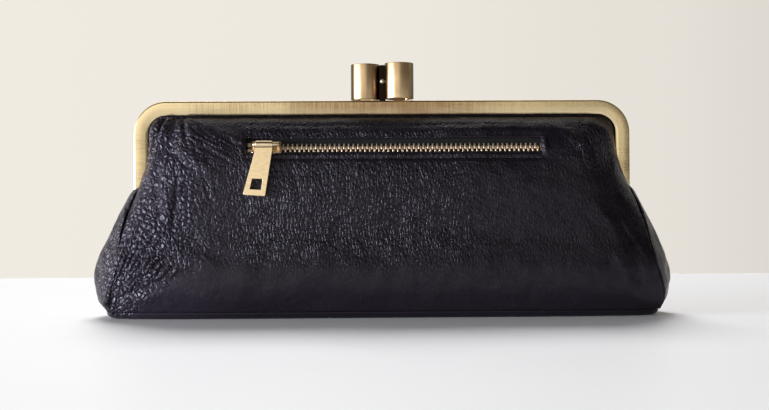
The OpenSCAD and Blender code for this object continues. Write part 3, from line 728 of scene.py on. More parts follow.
def lit_wall(name, colour):
    """A painted wall in even light that dims a little to the right. Only the view and the
    reflections find it, so it keeps none of the light off the purse."""
    material, tree, shader = new_material(name, {})
    tree.nodes.remove(shader)
    x = split(tree, object_coords(tree))["X"]
    shade = ramp(
        tree,
        ranged(tree, x, -0.35, 0.37, ease="LINEAR"),
        [(at, tint(colour, light)) for at, light in ((0.0, 1.07), (1.0, 0.88), (0.45, 1.05), (0.8, 0.97))],
        "EASE",
    )
    glow = add_node(tree, "ShaderNodeEmission", {"Color": shade}).outputs["Emission"]
    rays = add_node(tree, "ShaderNodeLightPath").outputs
    seen = math_node(tree, "MAXIMUM", rays["Is Camera Ray"], rays["Is Glossy Ray"])
    behind = add_node(tree, "ShaderNodeNewGeometry").outputs["Backfacing"]
    seen = math_node(tree, "SUBTRACT", seen, behind, clamp=True)
    clear = add_node(tree, "ShaderNodeBsdfTransparent").outputs["BSDF"]
    show(tree, seen, clear, glow)
    return material


def finish(name, make, *values):
    """The material of that name, made once."""
    return bpy.data.materials.get(name) or make(name, *values)


def hue(name):
    return getattr(bpy.context.scene.purse_colours, name)[:]


def outer_leather():
    scene = bpy.context.scene
    return finish("pebbled_leather", pebbled_leather, scene.purse_colours, scene.purse_sizes.pebble)


def frame_brass():
    return finish("antique_brass", antique_brass, bpy.context.scene.purse_colours)


def clasp_brass():
    return finish("satin_brass", satin_brass, bpy.context.scene.purse_colours)


# A near-black brass for the plate that paints the shade between the clasp tubes
def shade_plate_brass():
    return finish("blackened_brass", plated, linear("#2b1f17"), 0.4)


def zip_gold():
    return finish("plated_gold", plated, hue("gold"), 0.21)


def cast_gold():
    return finish("cast_gold", plated, linear("#ffe3c6"), 0.33)


def bead_steel():
    return finish("polished_steel", plated, hue("steel"), 0.42)


def lining_cloth():
    return finish("woven_lining", woven, hue("lining"), 0.5, 0.35)


def tape_cloth():
    return finish("woven_tape", woven, hue("tape"), 0.6, 0.1)


def card_stock():
    return finish("pressed_card", fibre_card, hue("card"))


def thread():
    return finish("waxed_thread", waxed_thread, hue("tape"))


def refinish(node, material):
    """Gives a node that stays as it was packed its material."""
    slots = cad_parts[node].data.materials
    slots.clear()
    slots.append(material)


# Making and finishing meshes


def stand(name, data):
    """A new object in the scene."""
    holder = bpy.data.objects.new(name, data)
    bpy.context.scene.collection.objects.link(holder)
    return holder


def add_piece(bm, name, materials, angle=40, recalc=True):
    """Puts a mesh made in millimetres in the scene, in metres, at the origin."""
    bmesh.ops.transform(bm, matrix=Matrix.Scale(MM, 4), verts=bm.verts)
    if recalc:
        bmesh.ops.recalc_face_normals(bm, faces=bm.faces)
    mesh = bpy.data.meshes.new(name)
    bm.to_mesh(mesh)
    bm.free()
    for material in materials:
        mesh.materials.append(material)
    mesh.shade_smooth()
    if angle:
        mesh.set_sharp_from_angle(angle=math.radians(angle))
    return stand(name, mesh)


def thicken(piece, thickness, inside=0):
    """Gives a sheet its thickness behind its face, with the inside in its own material."""
    solid = piece.modifiers.new("thickness", "SOLIDIFY")
    solid.thickness = thickness * MM
    solid.offset = -1
    solid.use_even_offset = False
    solid.material_offset = inside


def soften(piece, width, segments=2, angle=35):
    bevel = piece.modifiers.new("edges", "BEVEL")
    bevel.width = width * MM
    bevel.segments = segments
    bevel.limit_method = "ANGLE"
    bevel.angle_limit = math.radians(angle)


def move(bm, matrix, verts=None):
    bmesh.ops.transform(bm, matrix=matrix, verts=bm.verts if verts is None else verts)


def corners_of(geom):
    return [g for g in geom if isinstance(g, bmesh.types.BMVert)]


def moved_grid(columns, rows, place):
    """A grid whose corners are moved to place(column, row)."""
    bm = bmesh.new()
    nx, ny = len(columns) - 1, len(rows) - 1
    bmesh.ops.create_grid(bm, x_segments=nx, y_segments=ny, size=0.5)
    for v in bm.verts:
        i = round((v.co.x + 0.5) * nx)
        j = round((v.co.y + 0.5) * ny)
        v.co = place(columns[i], rows[j])
    return bm


def draw_out(bm, edges):
    """Extrudes a ring of edges. Returns the new ring's corners and edges."""
    made = bmesh.ops.extrude_edge_only(bm, edges=edges)["geom"]
    verts = corners_of(made)
    ring = set(verts)
    return verts, [
        g for g in made if isinstance(g, bmesh.types.BMEdge) and g.verts[0] in ring and g.verts[1] in ring
    ]


def section(bm, points, place=Matrix.Identity(4)):
    """A closed ring of edges through a few points."""
    verts = [bm.verts.new(place @ Vector(p)) for p in points]
    return [bm.edges.new((a, b)) for a, b in zip(verts, verts[1:] + verts[:1])]


def rod(points, stations):
    """A closed bar: a ring of points at the first station, drawn along the others."""
    bm = bmesh.new()
    first = ring = section(bm, points, stations[0])
    for before, after in zip(stations, stations[1:]):
        verts, ring = draw_out(bm, ring)
        move(bm, after @ before.inverted(), verts)
    for end in (first, ring):
        bmesh.ops.contextual_create(bm, geom=end)
    return bm


def about(x, y, z, degrees, axis):
    """A turn about an axis through a point."""
    centre = Matrix.Translation((x, y, z))
    return centre @ Matrix.Rotation(math.radians(degrees), 4, axis) @ centre.inverted()


def arc(x, y, r, start, stop, step):
    """Points round part of a circle, by degrees."""
    angles = [math.radians(a) for a in range(start, stop, step)]
    return [(x + r * math.cos(a), y + r * math.sin(a)) for a in angles]


def turned(profile, segments, place):
    """A shape turned on a lathe from a closed profile of (radius, height)."""
    bm = bmesh.new()
    ring = section(bm, [(r, 0, h) for r, h in profile])
    geom = ring + list({v for e in ring for v in e.verts})
    bmesh.ops.spin(
        bm, geom=geom, cent=(0, 0, 0), axis=(0, 0, 1), angle=2 * math.pi, steps=segments, use_merge=True
    )
    bmesh.ops.remove_doubles(bm, verts=bm.verts, dist=1e-4)
    move(bm, place)
    return bm


def push_out(bm, shift):
    """Extrudes all faces by a vector, which makes a flat shape a plate."""
    out = bmesh.ops.extrude_face_region(bm, geom=list(bm.faces))["geom"]
    bmesh.ops.translate(bm, vec=shift, verts=corners_of(out))


def slab(points, thickness, place=Matrix.Identity(4)):
    """A flat plate from a few corners (x, z), thick towards +Y."""
    bm = bmesh.new()
    bmesh.ops.contextual_create(bm, geom=section(bm, [(x, 0, z) for x, z in points], place))
    push_out(bm, place.to_3x3() @ Vector((0, thickness, 0)))
    return bm


def join_all(parts):
    """One mesh from several."""
    whole = parts[0]
    for part in parts[1:]:
        mesh = bpy.data.meshes.new("part")
        part.to_mesh(mesh)
        part.free()
        whole.from_mesh(mesh)
        bpy.data.meshes.remove(mesh)
    return whole


def repeat(shape, places):
    """One mesh from a shape that is set at many places."""
    one = bpy.data.meshes.new("one")
    shape.to_mesh(one)
    shape.free()
    bm = bmesh.new()
    for place in places:
        known = len(bm.verts)
        bm.from_mesh(one)
        bm.verts.ensure_lookup_table()
        move(bm, place, bm.verts[known:])
    bpy.data.meshes.remove(one)
    return bm


def cut_out(bm, inside):
    """Takes away the faces whose middle is inside."""
    gone = [f for f in bm.faces if inside(f.calc_center_median())]
    bmesh.ops.delete(bm, geom=gone, context="FACES")


def look(bm, axis, way):
    """Turns all faces over if on the whole they look the wrong way along an axis."""
    if sum(f.normal[axis] for f in bm.faces) * way < 0:
        bmesh.ops.reverse_faces(bm, faces=bm.faces)


def mirror_over(bm, matrix):
    move(bm, matrix)
    bmesh.ops.reverse_faces(bm, faces=bm.faces)


def close_steps(count, power):
    """Steps from -1 to 1 that lie closer together towards both ends."""
    steps = []
    for i in range(count + 1):
        t = 2 * i / count - 1
        steps.append(mix(-1.0, 1.0, 0.5 + 0.5 * mix(t, math.sin(math.pi / 2 * t), power)))
    return steps


def snap(steps, value):
    """Moves the nearest step to a value, so that a line of the grid lies on it."""
    k = min(range(len(steps)), key=lambda i: abs(steps[i] - value))
    steps[k] = value
    return k


# Leather


def panel_point(s, tuck, z, foot, left_front):
    """A point on a panel's outer face. s runs from -1 to 1 across, tuck is the share of the way
    round its turned edge or into the frame, and foot the share of the way round its lower edge."""
    side = -1 if s < 0 else 1
    zc = min(max(z, SEAM_Z), MOUTH_Z)
    edge = side_edge(zc, left_front and side < 0)
    bow = 1 - abs(s) ** mix(mix(8, 12, share(zc, 20, 40)), 18, share(zc, 60, 90))
    at_edge = end_depth(zc) + rise(zc)
    depth = at_edge + (half_depth(zc) - at_edge) * bow
    x = s * edge
    if z > MOUTH_Z:
        over = z - MOUTH_Z
        x = s * mix(edge, BEND_X - 1, share(over, 0, 1.4))
        depth = mix(max(depth, 6.5), 4.5, smooth(share(over, 0.7, 1.5)))
    if tuck:
        into = smooth(share(zc, 80, 88))
        seam_x = edge + 0.25 * math.sin(math.pi * tuck) - 1.2 * tuck * tuck
        seam_depth = end_depth(zc) - (1.0 + 2.4 * groove(zc, left_front and side < 0)) * tuck
        in_x = mix(edge, channel_edge(zc), tuck**1.25)
        in_depth = mix(at_edge, 4.3, share(tuck, 0, 0.25))
        x = side * mix(seam_x, in_x, into)
        depth = mix(seam_depth, in_depth, into)
        if z > MOUTH_Z:
            x = side * mix(abs(x), channel_edge(min(z, BEND_Z + GRIP_R - 0.01)), share(z - MOUTH_Z, 0, 1.4))
            depth = 4.3
    if foot:
        depth -= 0.3 * foot + 1.5 * foot * foot
        z = SEAM_Z - 0.35 * math.sin(math.pi * foot) * 0.6 + 0.5 * foot
        x *= 1 - 0.012 * foot
    return Vector((x, -depth, z))


def panel(sizes, left_front, window):
    """The outer face of a leather panel, from its bottom seam up into the frame. Returns the
    window's limits too."""
    across = close_steps(sizes.columns, 0.45)
    if window:
        # The right end of the lip lies over the bottom stop
        x0, x1 = [across[snap(across, end / LEG_X)] * LEG_X for end in (ZIP_LEFT, ZIP_RIGHT - LIP_OVER)]
    tucks = (0.25, 0.5, 0.75, 1.0)
    columns = [(-1.0, t) for t in reversed(tucks)] + [(s, 0.0) for s in across] + [(1.0, t) for t in tucks]
    heights = [SEAM_Z + (MOUTH_Z - SEAM_Z) * (1 - (1 - i / sizes.rows) ** 1.35) for i in range(sizes.rows + 1)]
    z0 = heights[snap(heights, ZIP_Z - LIP_H * math.cos(ZIP_SLOPE))]
    z1 = heights[snap(heights, ZIP_Z + WINDOW_HALF)]
    rows = [(SEAM_Z, 1.0), (SEAM_Z, 0.66), (SEAM_Z, 0.33)] + [(z, 0.0) for z in heights]
    rows += [(MOUTH_Z + d, 0.0) for d in (0.5, 0.9, 1.2, 1.5, 4.0, 6.6)]
    bm = moved_grid(columns, rows, lambda column, row: panel_point(*column, *row, left_front))
    if window:
        cut_out(bm, lambda spot: x0 < spot.x < x1 and z0 < spot.z < z1)
    bmesh.ops.recalc_face_normals(bm, faces=bm.faces)
    look(bm, 1, -1)
    return bm, (x0, x1, z0, z1) if window else None


def carve(bm, folds, wrinkles, depth, hole, seed):
    """Moves the leather along its normals for folds, soft dents and the dip round the zip."""
    bm.normal_update()
    for v in bm.verts:
        x, z = v.co.x, v.co.z
        fade = share(z, 4, 9) * share(MOUTH_Z + 1.0 - z, 0, 2.5)
        push = (relief(x, z, folds) + wrinkles(x, z)) * depth
        push += 0.55 * noise.noise(Vector((x * 0.035, z * 0.05, seed))) * depth
        push += 0.3 * noise.noise(Vector((x * 0.11, z * 0.12, seed + 7))) * depth
        push += 0.12 * noise.noise(Vector((x * 0.33, z * 0.3, seed + 13))) * depth
        if hole:
            dx = max(hole[0] - x, x - hole[1], 0)
            dz = max(hole[2] - z, z - hole[3], 0)
            near = math.hypot(dx, dz)
            push -= 0.6 * math.exp(-((near / 2.6) ** 2))
        v.co += v.normal * push * fade


def turn_in_window(bm, hole):
    """Rolls the leather's edge in round the zip's window."""
    x0, x1, z0, z1 = hole
    rim = [
        e for e in bm.edges
        if e.is_boundary and x0 - 1 < e.verts[0].co.x < x1 + 1 and z0 - 1 < e.verts[0].co.z < z1 + 1
    ]
    for step, drop in ((0.22, 0.16), (0.2, 0.42), (0.05, 0.7)):
        verts, rim = draw_out(bm, rim)
        for v in verts:
            x = min(max(v.co.x, x0 + 4), x1 - 4)
            way = Vector((x, v.co.y, (z0 + z1) / 2)) - v.co
            across = math.copysign(1, way.x) if abs(way.x) > 1 else 0
            up = math.copysign(1, way.z) if abs(way.x) < 3.9 else 0
            v.co += Vector((across, 0, up)) * step + Vector((0, drop, drop * 0.35))


def lined(piece):
    """Two finishes: leather outside and lining cloth on the inside."""
    thicken(piece, bpy.context.scene.purse_sizes.leather, inside=1)
    return piece


class PURSE_OT_front_skin(bpy.types.Operator):
    """Makes the front leather panel with its folds and the zip's window"""

    bl_idname = "purse.front_skin"
    bl_label = "Front leather"

    def execute(self, context):
        sizes = context.scene.purse_sizes
        bm, hole = panel(sizes, True, True)
        carve(bm, FRONT_FOLDS, front_wrinkles, sizes.folds, hole, 1.0)
        turn_in_window(bm, hole)
        skin = lined(add_piece(bm, "front_skin", [outer_leather(), lining_cloth()], angle=0, recalc=False))
        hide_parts("front_panel", "front_panel_lower")
        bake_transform(skin)
        return {"FINISHED"}


class PURSE_OT_stitching(bpy.types.Operator):
    """Makes the row of stitches along the welt under the zip"""

    bl_idname = "purse.stitching"
    bl_label = "Stitching"

    def execute(self, context):
        sizes = context.scene.purse_sizes
        skin = bpy.data.objects["front_skin"].data
        face = BVHTree.FromPolygons([v.co for v in skin.vertices], [tuple(p.vertices) for p in skin.polygons])

        def on_skin(x):
            return face.ray_cast(Vector((x, -60, WELT_Z)) * MM, Vector((0, 1, 0)))[0] / MM

        shape = bmesh.new()
        bmesh.ops.create_cone(
            shape, cap_ends=True, segments=8, radius1=0.24, radius2=0.24, depth=sizes.stitch,
            matrix=Matrix.Rotation(math.pi / 2, 4, "Y"),
        )
        bmesh.ops.bevel(
            shape, geom=[e for e in shape.edges if abs(e.verts[0].co.x - e.verts[1].co.x) < 1],
            offset=0.14, segments=2, profile=0.5, affect="EDGES", material=-1,
        )
        places = []
        x = ZIP_LEFT + 0.4
        while x < ZIP_RIGHT - sizes.stitch:
            a, b = on_skin(x), on_skin(x + sizes.stitch)
            turn = (b - a).to_track_quat("X", "Z").to_matrix().to_4x4()
            places.append(Matrix.Translation((a + b) / 2 + Vector((0, -0.04, 0))) @ turn)
            x += sizes.stitch + 0.8
        row = add_piece(repeat(shape, places), "welt_stitching", [thread()], angle=0)
        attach(row, "front_half")
        return {"FINISHED"}


class PURSE_OT_rear_skin(bpy.types.Operator):
    """Makes the rear leather panel"""

    bl_idname = "purse.rear_skin"
    bl_label = "Rear leather"

    def execute(self, context):
        sizes = context.scene.purse_sizes
        bm, _ = panel(sizes, False, False)
        carve(bm, REAR_FOLDS, rear_wrinkles, sizes.folds, None, 31.0)
        mirror_over(bm, MIRROR_Y)
        skin = lined(add_piece(bm, "rear_skin", [outer_leather(), lining_cloth()], angle=0, recalc=False))
        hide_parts("rear_panel", "rear_panel_lower")
        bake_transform(skin)
        return {"FINISHED"}


def groove(z, left_front):
    """How deep the seam between a panel and a gusset opens at a height, as a share."""
    if left_front:
        return smooth(share(z, 30, 44))
    return 0.35 + 0.3 * smooth(share(z, 30, 50))


def gusset_point(u, tuck, z, left_front):
    """A point on a gusset's outer face. u runs from its middle, 0, to the panel's seam, 1."""
    out = along(GUSSET_OUT, z)
    deep = groove(z, left_front)
    edge = side_edge(z, left_front) + 0.3 + 1.0 * deep
    depth = end_depth(z) - 0.35 - 0.65 * min(1.0, 4 * deep)
    depth -= 1.2 * share(z, 52, GUSSET_TOP)
    roll = share(z, 61, GUSSET_TOP)
    x = out - (out - edge) * u**2.4 - 1.0 * roll * roll
    y = u * depth
    if tuck:
        x -= 0.3 * tuck + (0.7 + 0.9 * deep) * tuck * tuck
        y += 0.5 * math.sin(math.pi * tuck * 0.5) * (1 - tuck)
        y -= (0.9 + 2.2 * deep) * tuck**1.6
    return Vector((x, -y, z))


class PURSE_OT_gussets(bpy.types.Operator):
    """Makes both gussets, each in a front and a rear half that meet at its middle line"""

    bl_idname = "purse.gussets"
    bl_label = "Gussets"

    def execute(self, context):
        sizes = context.scene.purse_sizes
        columns = [(i / 34, 0.0) for i in range(35)] + [(1.0, t) for t in (0.3, 0.65, 1.0)]
        rows = [SEAM_Z + (GUSSET_TOP - SEAM_Z) * i / 64 for i in range(65)]
        for side in (-1, 1):
            for front in (True, False):
                bm = moved_grid(columns, rows, lambda c, z: gusset_point(*c, z, front and side < 0))
                bm.normal_update()
                sign = 1 if sum(f.normal.x for f in bm.faces) > 0 else -1
                for v in bm.verts:
                    y, z = v.co.y, v.co.z
                    push = relief(-y, z, GUSSET_FOLDS)
                    push += 0.5 * noise.noise(Vector((y * 0.1, z * 0.09, side * 5.0)))
                    push += 0.15 * noise.noise(Vector((y * 0.35, z * 0.3, side * 9.0)))
                    v.co += v.normal * sign * push * share(z, 4, 9) * share(-y, 0, 3) * sizes.folds
                if side < 0:
                    move(bm, MIRROR_X)
                if not front:
                    move(bm, MIRROR_Y)
                bm.normal_update()
                look(bm, 0, side)
                name = "gusset_%s_%s" % ("left" if side < 0 else "right", "front" if front else "rear")
                piece = lined(add_piece(bm, name, [outer_leather(), lining_cloth()], angle=0, recalc=False))
                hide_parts("left_gusset" if side < 0 else "right_gusset")
                y = -1 if front else 1
                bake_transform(piece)
        return {"FINISHED"}


def squared_ring(a, b, z):
    """Points of a rounded rectangle, a superellipse of the sixth degree."""
    points = []
    for i in range(TRAY_POINTS):
        t = 2 * math.pi * i / TRAY_POINTS
        c, s = math.cos(t), math.sin(t)
        points.append((a * math.copysign(abs(c) ** (2 / 6), c), b * math.copysign(abs(s) ** (2 / 6), s), z))
    return points


def tray(rings):
    """A tray that looks down and out: a capped circle for its bottom, extruded up through rings
    of (half x, half y, z)."""
    bm = bmesh.new()
    bmesh.ops.create_circle(bm, cap_ends=True, segments=TRAY_POINTS, radius=1)
    before = {v: i for i, v in enumerate(bm.verts)}
    for v, point in zip(bm.verts, squared_ring(*rings[0])):
        v.co = point
    edges = list(bm.edges)
    for ring in rings[1:]:
        points = squared_ring(*ring)
        verts, edges = draw_out(bm, edges)
        after = {}
        for v in verts:
            after[v] = before[next(e.other_vert(v) for e in v.link_edges if e.other_vert(v) in before)]
            v.co = points[after[v]]
        before = after
    bmesh.ops.recalc_face_normals(bm, faces=bm.faces)
    low = min(bm.faces, key=lambda f: f.calc_center_median().z)
    if low.normal.z > 0:
        bmesh.ops.reverse_faces(bm, faces=bm.faces)
    return bm


class PURSE_OT_base(bpy.types.Operator):
    """Makes the leather base with its turned-up rim and the stiff board that lies in it"""

    bl_idname = "purse.base"
    bl_label = "Base"

    def execute(self, context):
        rings = []
        for a in range(0, 91, 10):
            s, c = math.sin(math.radians(a)), math.cos(math.radians(a))
            rings.append((BASE_X - 5 * (1 - s), BASE_Y - 3.4 * (1 - s), RIM_Z * (1 - c) ** 1.1))
        rings += [(BASE_X - 0.4, BASE_Y - 0.4, RIM_Z + 0.35), (BASE_X - 1.3, BASE_Y - 1.3, RIM_Z + 0.3)]
        finishes = [outer_leather(), lining_cloth()]
        base = lined(add_piece(tray(rings), "base_tray", finishes, angle=0, recalc=False))
        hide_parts("base_panel")
        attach(base, "pouch")

        x, y, low, thick = 124.9, 19.9, 1.45, 1.5
        bm = bmesh.new()
        bmesh.ops.create_cube(bm, size=1, matrix=Matrix.Diagonal((2 * x, 2 * y, thick, 1)))
        upright = [e for e in bm.edges if abs(e.verts[0].co.z - e.verts[1].co.z) > 1]
        bmesh.ops.bevel(bm, geom=upright, offset=8, segments=8, profile=0.5, affect="EDGES", material=-1)
        bmesh.ops.translate(bm, vec=(0, 0, low + thick / 2), verts=bm.verts)
        board = add_piece(bm, "base_stiffener", [card_stock()])
        soften(board, 0.25)
        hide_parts("base_board")
        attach(board, "pouch")
        return {"FINISHED"}


# Inside


def pocket_open(z, u):
    """How far apart the pocket's two walls stand."""
    return 10.2 * (1 - (2 * share(z, POCKET_LOW, POCKET_TOP) - 1) ** 4) * (1 - min(1.0, abs(u)) ** 10)


def face_depth(x, z):
    """Depth of the panel's plain face, the form that the lining and the pocket follow."""
    u = min(1.0, abs(x) / side_edge(z))
    return upper_end(z) + (upper_mid(z) - upper_end(z)) * (1 - u**12)


class PURSE_OT_lining(bpy.types.Operator):
    """Makes the lining: a sheet behind each panel and a tub over the base"""

    bl_idname = "purse.lining"
    bl_label = "Lining"

    def execute(self, context):
        cloth = lining_cloth()
        for name, node, body, flip in (
            ("lining_front", "front_lining", "front_half", False),
            ("lining_rear", "rear_lining", "rear_half", True),
        ):

            def place(u, z):
                x = u * side_edge(max(z, FOLD_Z))
                set_in = 2.8 if flip else 4.5 + pocket_open(z, u)
                depth = face_depth(x, max(z, FOLD_Z)) - set_in
                depth = mix(min(depth, 21.4), depth, smooth(share(z, 20, 34)))
                depth += 0.25 * noise.noise(Vector((x * 0.06, z * 0.09, 3.0)))
                if z > 93.6:
                    depth -= 0.3
                return Vector((mix(u * 123, x, smooth(share(z, 10, 32))), -depth, z))

            columns = [-0.88 + 1.76 * i / 100 for i in range(101)]
            rows = [8 + (LINING_TOP - 8) * i / 60 for i in range(61)]
            bm = moved_grid(columns, rows, place)
            bm.normal_update()
            look(bm, 1, -1)
            if flip:
                mirror_over(bm, MIRROR_Y)
            piece = add_piece(bm, name, [cloth], angle=0, recalc=False)
            thicken(piece, CLOTH)
            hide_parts(node)
            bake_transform(piece)

        x, y, low, top = 129.0, 22.4, 3.0, 17
        rings = [(x - 2, y - 1.4, low), (x - 0.8, y - 0.6, low + 0.6), (x, y, low + 2.5)]
        rings += [(x + 3 * k / 6, y + 0.6 * k / 6, low + 2.5 + (top - low - 2.5) * k / 6) for k in range(1, 7)]
        tub = add_piece(tray(rings), "lining_tub", [cloth], angle=0, recalc=False)
        thicken(tub, CLOTH)
        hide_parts("lower_lining")
        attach(tub, "pouch")
        return {"FINISHED"}


class PURSE_OT_pocket(bpy.types.Operator):
    """Makes the pocket bag behind the zip"""

    bl_idname = "purse.pocket"
    bl_label = "Zip pocket"

    def execute(self, context):
        x0, x1 = ZIP_LEFT - 3, ZIP_RIGHT + 3
        set_in = ZIP_SINK + 0.45
        columns = [mix(x0, x1, i / 80) for i in range(81)]
        snap(columns, ZIP_LEFT)
        snap(columns, ZIP_RIGHT)
        rows = [mix(POCKET_LOW, POCKET_TOP, i / 40) for i in range(41)]
        snap(rows, ZIP_Z - WINDOW_HALF)
        snap(rows, ZIP_Z + WINDOW_HALF)

        def wall(back):
            def place(x, z):
                u = 2 * (x - x0) / (x1 - x0) - 1
                gap = 1.0 + pocket_open(z, u) - 0.1 if back else 0.0
                return Vector((x, -(face_depth(x, z) - set_in - gap), z))

            return moved_grid(columns, rows, place)

        front = wall(False)
        cut_out(front, lambda spot: abs(spot.x - ZIP_X) < ZIP_LEN / 2 and abs(spot.z - ZIP_Z) < WINDOW_HALF)
        bm = join_all([front, wall(True)])
        edges = []
        for e in bm.edges:
            x, z = e.verts[0].co.x, e.verts[0].co.z
            to_edge = min(abs(x - x0), abs(x - x1), abs(z - POCKET_LOW), abs(z - POCKET_TOP))
            if e.is_boundary and to_edge < 0.01:
                edges.append(e)
        bmesh.ops.bridge_loops(bm, edges=edges)
        bmesh.ops.recalc_face_normals(bm, faces=bm.faces)
        if not any(abs(f.calc_center_median().z - 60) < 8 and f.normal.y < -0.5 for f in bm.faces):
            bmesh.ops.reverse_faces(bm, faces=bm.faces)
        bag = add_piece(bm, "pocket_bag", [lining_cloth()], angle=0, recalc=False)
        thicken(bag, 0.45)
        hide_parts("zip_pocket")
        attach(bag, "front_half")
        return {"FINISHED"}


# Frame and clasp


def frame_stations(low, step):
    """Places along the frame, up the left leg, over the top and down the right leg."""
    leg = max(1, round((BEND_Z - low) / step))
    top = max(1, round(2 * BEND_X / step))
    base = Matrix.Translation((-SIDE_X, FACE_Y, 0))
    stations = [Matrix.Translation((0, 0, mix(low, BEND_Z, i / leg))) @ base for i in range(leg)]
    start = Matrix.Translation((0, 0, BEND_Z)) @ base
    stations += [about(-BEND_X, 0, BEND_Z, 90 * i / BEND_STEPS, "Y") @ start for i in range(BEND_STEPS + 1)]
    start = stations[-1]
    stations += [Matrix.Translation((2 * BEND_X * i / top, 0, 0)) @ start for i in range(1, top + 1)]
    start = stations[-1]
    stations += [about(BEND_X, 0, BEND_Z, 90 * i / BEND_STEPS, "Y") @ start for i in range(1, BEND_STEPS + 1)]
    start = stations[-1]
    stations += [Matrix.Translation((0, 0, -(BEND_Z - low) * i / leg)) @ start for i in range(1, leg + 1)]
    return stations


def channel_profile():
    """The brass channel's section as (distance from the outer edge, distance from the face)."""
    t, depth, edge, crimp = 1.0, 6.0, 1.0, 0.4
    points = [(BAND, crimp + 0.15), (BAND - 0.12, crimp), (BAND - 0.8, 0.16), (BAND - 1.5, 0.0)]
    for a in range(0, 91, 10):
        s, c = math.sin(math.radians(a)), math.cos(math.radians(a))
        points.append((edge * (1 - s), edge * (1 - c)))
    points += [(0, depth - 0.3), (0.09, depth - 0.09), (0.3, depth), (BAND - 0.5, depth)]
    points += [(BAND - 0.4, depth - 0.1), (BAND - 0.4, depth - t), (t, depth - t), (t, t)]
    points += [(BAND - 1.5, t), (BAND - 0.8, t + 0.16), (BAND - 0.12, t + crimp), (BAND, t + crimp - 0.15)]
    return points


def hinge_tab(x, strip_face):
    """The strip down the leg's inside and the round tab on the hinge's axis."""
    inner, r = -0.45, 4.5
    outline = [
        (FACE_Y + strip_face, LEG_END + 5), (inner, LEG_END + 5), (inner, LEG_END - 1),
        (r * 0.7, HINGE_Z + r * 0.72),
    ]
    outline += arc(0, HINGE_Z, r, 36, -181, -12)
    outline += [(-r, HINGE_Z + 0.6), (FACE_Y + strip_face, LEG_END + 0.5)]
    bm = bmesh.new()
    bmesh.ops.contextual_create(bm, geom=section(bm, [(x, y, z) for y, z in outline]))
    push_out(bm, (1.0, 0, 0))
    return bm


class PURSE_OT_frame(bpy.types.Operator):
    """Makes both brass halves of the frame and the cord crimped into each"""

    bl_idname = "purse.frame"
    bl_label = "Frame"

    def execute(self, context):
        brass = frame_brass()
        for front in (True, False):
            bm = rod([(out, deep, 0) for out, deep in channel_profile()], frame_stations(LEG_END, 9.0))
            bmesh.ops.recalc_face_normals(bm, faces=bm.faces)
            tabs = []
            for way in (-1, 1):
                tab = hinge_tab(124.0, 1.0) if front else hinge_tab(122.7, 1.05)
                if way < 0:
                    move(tab, MIRROR_X)
                bmesh.ops.recalc_face_normals(tab, faces=tab.faces)
                tabs.append(tab)
            bm = join_all([bm] + tabs)
            if not front:
                move(bm, MIRROR_Y)
                bmesh.ops.recalc_face_normals(bm, faces=bm.faces)
            side = "front" if front else "rear"
            piece = add_piece(bm, "brass_" + side, [brass], angle=30, recalc=False)
            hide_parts(side + "_frame")
            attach(piece, side + "_half")

            # The cord lies behind the channel's wall and the leather's edge, a little twisted
            cord_r, from_edge = 0.95, 2.05
            behind = -1.0 - 0.15 - cord_r - 0.05 - FACE_Y
            stations = [
                m @ Matrix.Translation((from_edge, behind, 0)) @ Matrix.Rotation(k * 0.42, 4, "Z")
                for k, m in enumerate(frame_stations(LEG_END + 6, 2.4))
            ]
            strands = []
            for i in range(15):
                a = 2 * math.pi * i / 15
                r = cord_r * (0.9 + 0.1 * math.cos(3 * a))
                strands.append((r * math.cos(a), r * math.sin(a), 0))
            bm = rod(strands, stations)
            if not front:
                move(bm, MIRROR_Y)
            cord = add_piece(bm, "crimp_%s" % side, [card_stock()], angle=0)
            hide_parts(side + "_crimp_cord")
            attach(cord, side + "_half")
        refinish("hinge_rivets", brass)
        return {"FINISHED"}


class PURSE_OT_clasp(bpy.types.Operator):
    """Makes the two clasp tubes, their brackets' finish, the catch bead and a near-black plate behind it that
    paints the shade between the tubes
    """

    bl_idname = "purse.clasp"
    bl_label = "Clasp"

    def execute(self, context):
        brass = clasp_brass()
        r, wall, h, edge = TUBE_R, 1.0, TUBE_H, 0.3
        profile = []
        for cx, cz, start in (
            (r - edge, edge, -90), (r - edge, h - edge, 0),
            (r - wall + edge, h - edge, 90), (r - wall + edge, edge, 180),
        ):
            profile += arc(cx, cz, edge, start, start + 91, 30)
        for side, sx, body in (("front", -1, "front_half"), ("rear", 1, "rear_half")):
            bm = turned(profile, 120, Matrix.Translation((sx * TUBE_X, -sx * TUBE_LEAN, TUBE_Z)))
            tube = add_piece(bm, "tube_" + side, [brass], angle=30)
            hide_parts(side + "_clasp_tube")
            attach(tube, body)
            refinish(side + "_clasp_arm", brass)
        bead_r = 1.2
        profile = [(0.0, -bead_r)] + arc(0, 0, bead_r, -80, 61, 10)
        profile += [(0.6, 1.05), (0.6, 2.5), (1.08, 2.5), (1.08, 2.85), (0.9, 3.0), (0.0, 3.0)]
        at = Matrix.Translation((0.05, -TUBE_LEAN, TUBE_Z + TUBE_H / 2)) @ Matrix.Rotation(math.pi / 2, 4, "Y")
        bead = add_piece(turned(profile, 40, at), "snap_bead", [bead_steel()], angle=40)
        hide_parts("catch_bead")
        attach(bead, "rear_half")

        # A near-black plate behind the bead, a dark sheet that paints the shade in the gap between the tubes
        left, right, low, high = -1.6, 1.75, FRAME_TOP + 0.05, TUBE_Z + TUBE_H - 0.4
        outline = [(left, low), (right, low), (right, high), (left + 0.5, high), (left, high - 0.5)]
        bm = slab(outline, 0.8, Matrix.Translation((0, 0.15, 0)))
        plate = add_piece(bm, "catch_plate", [shade_plate_brass()])
        soften(plate, 0.2)
        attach(plate, "rear_half")
        return {"FINISHED"}


# Zip


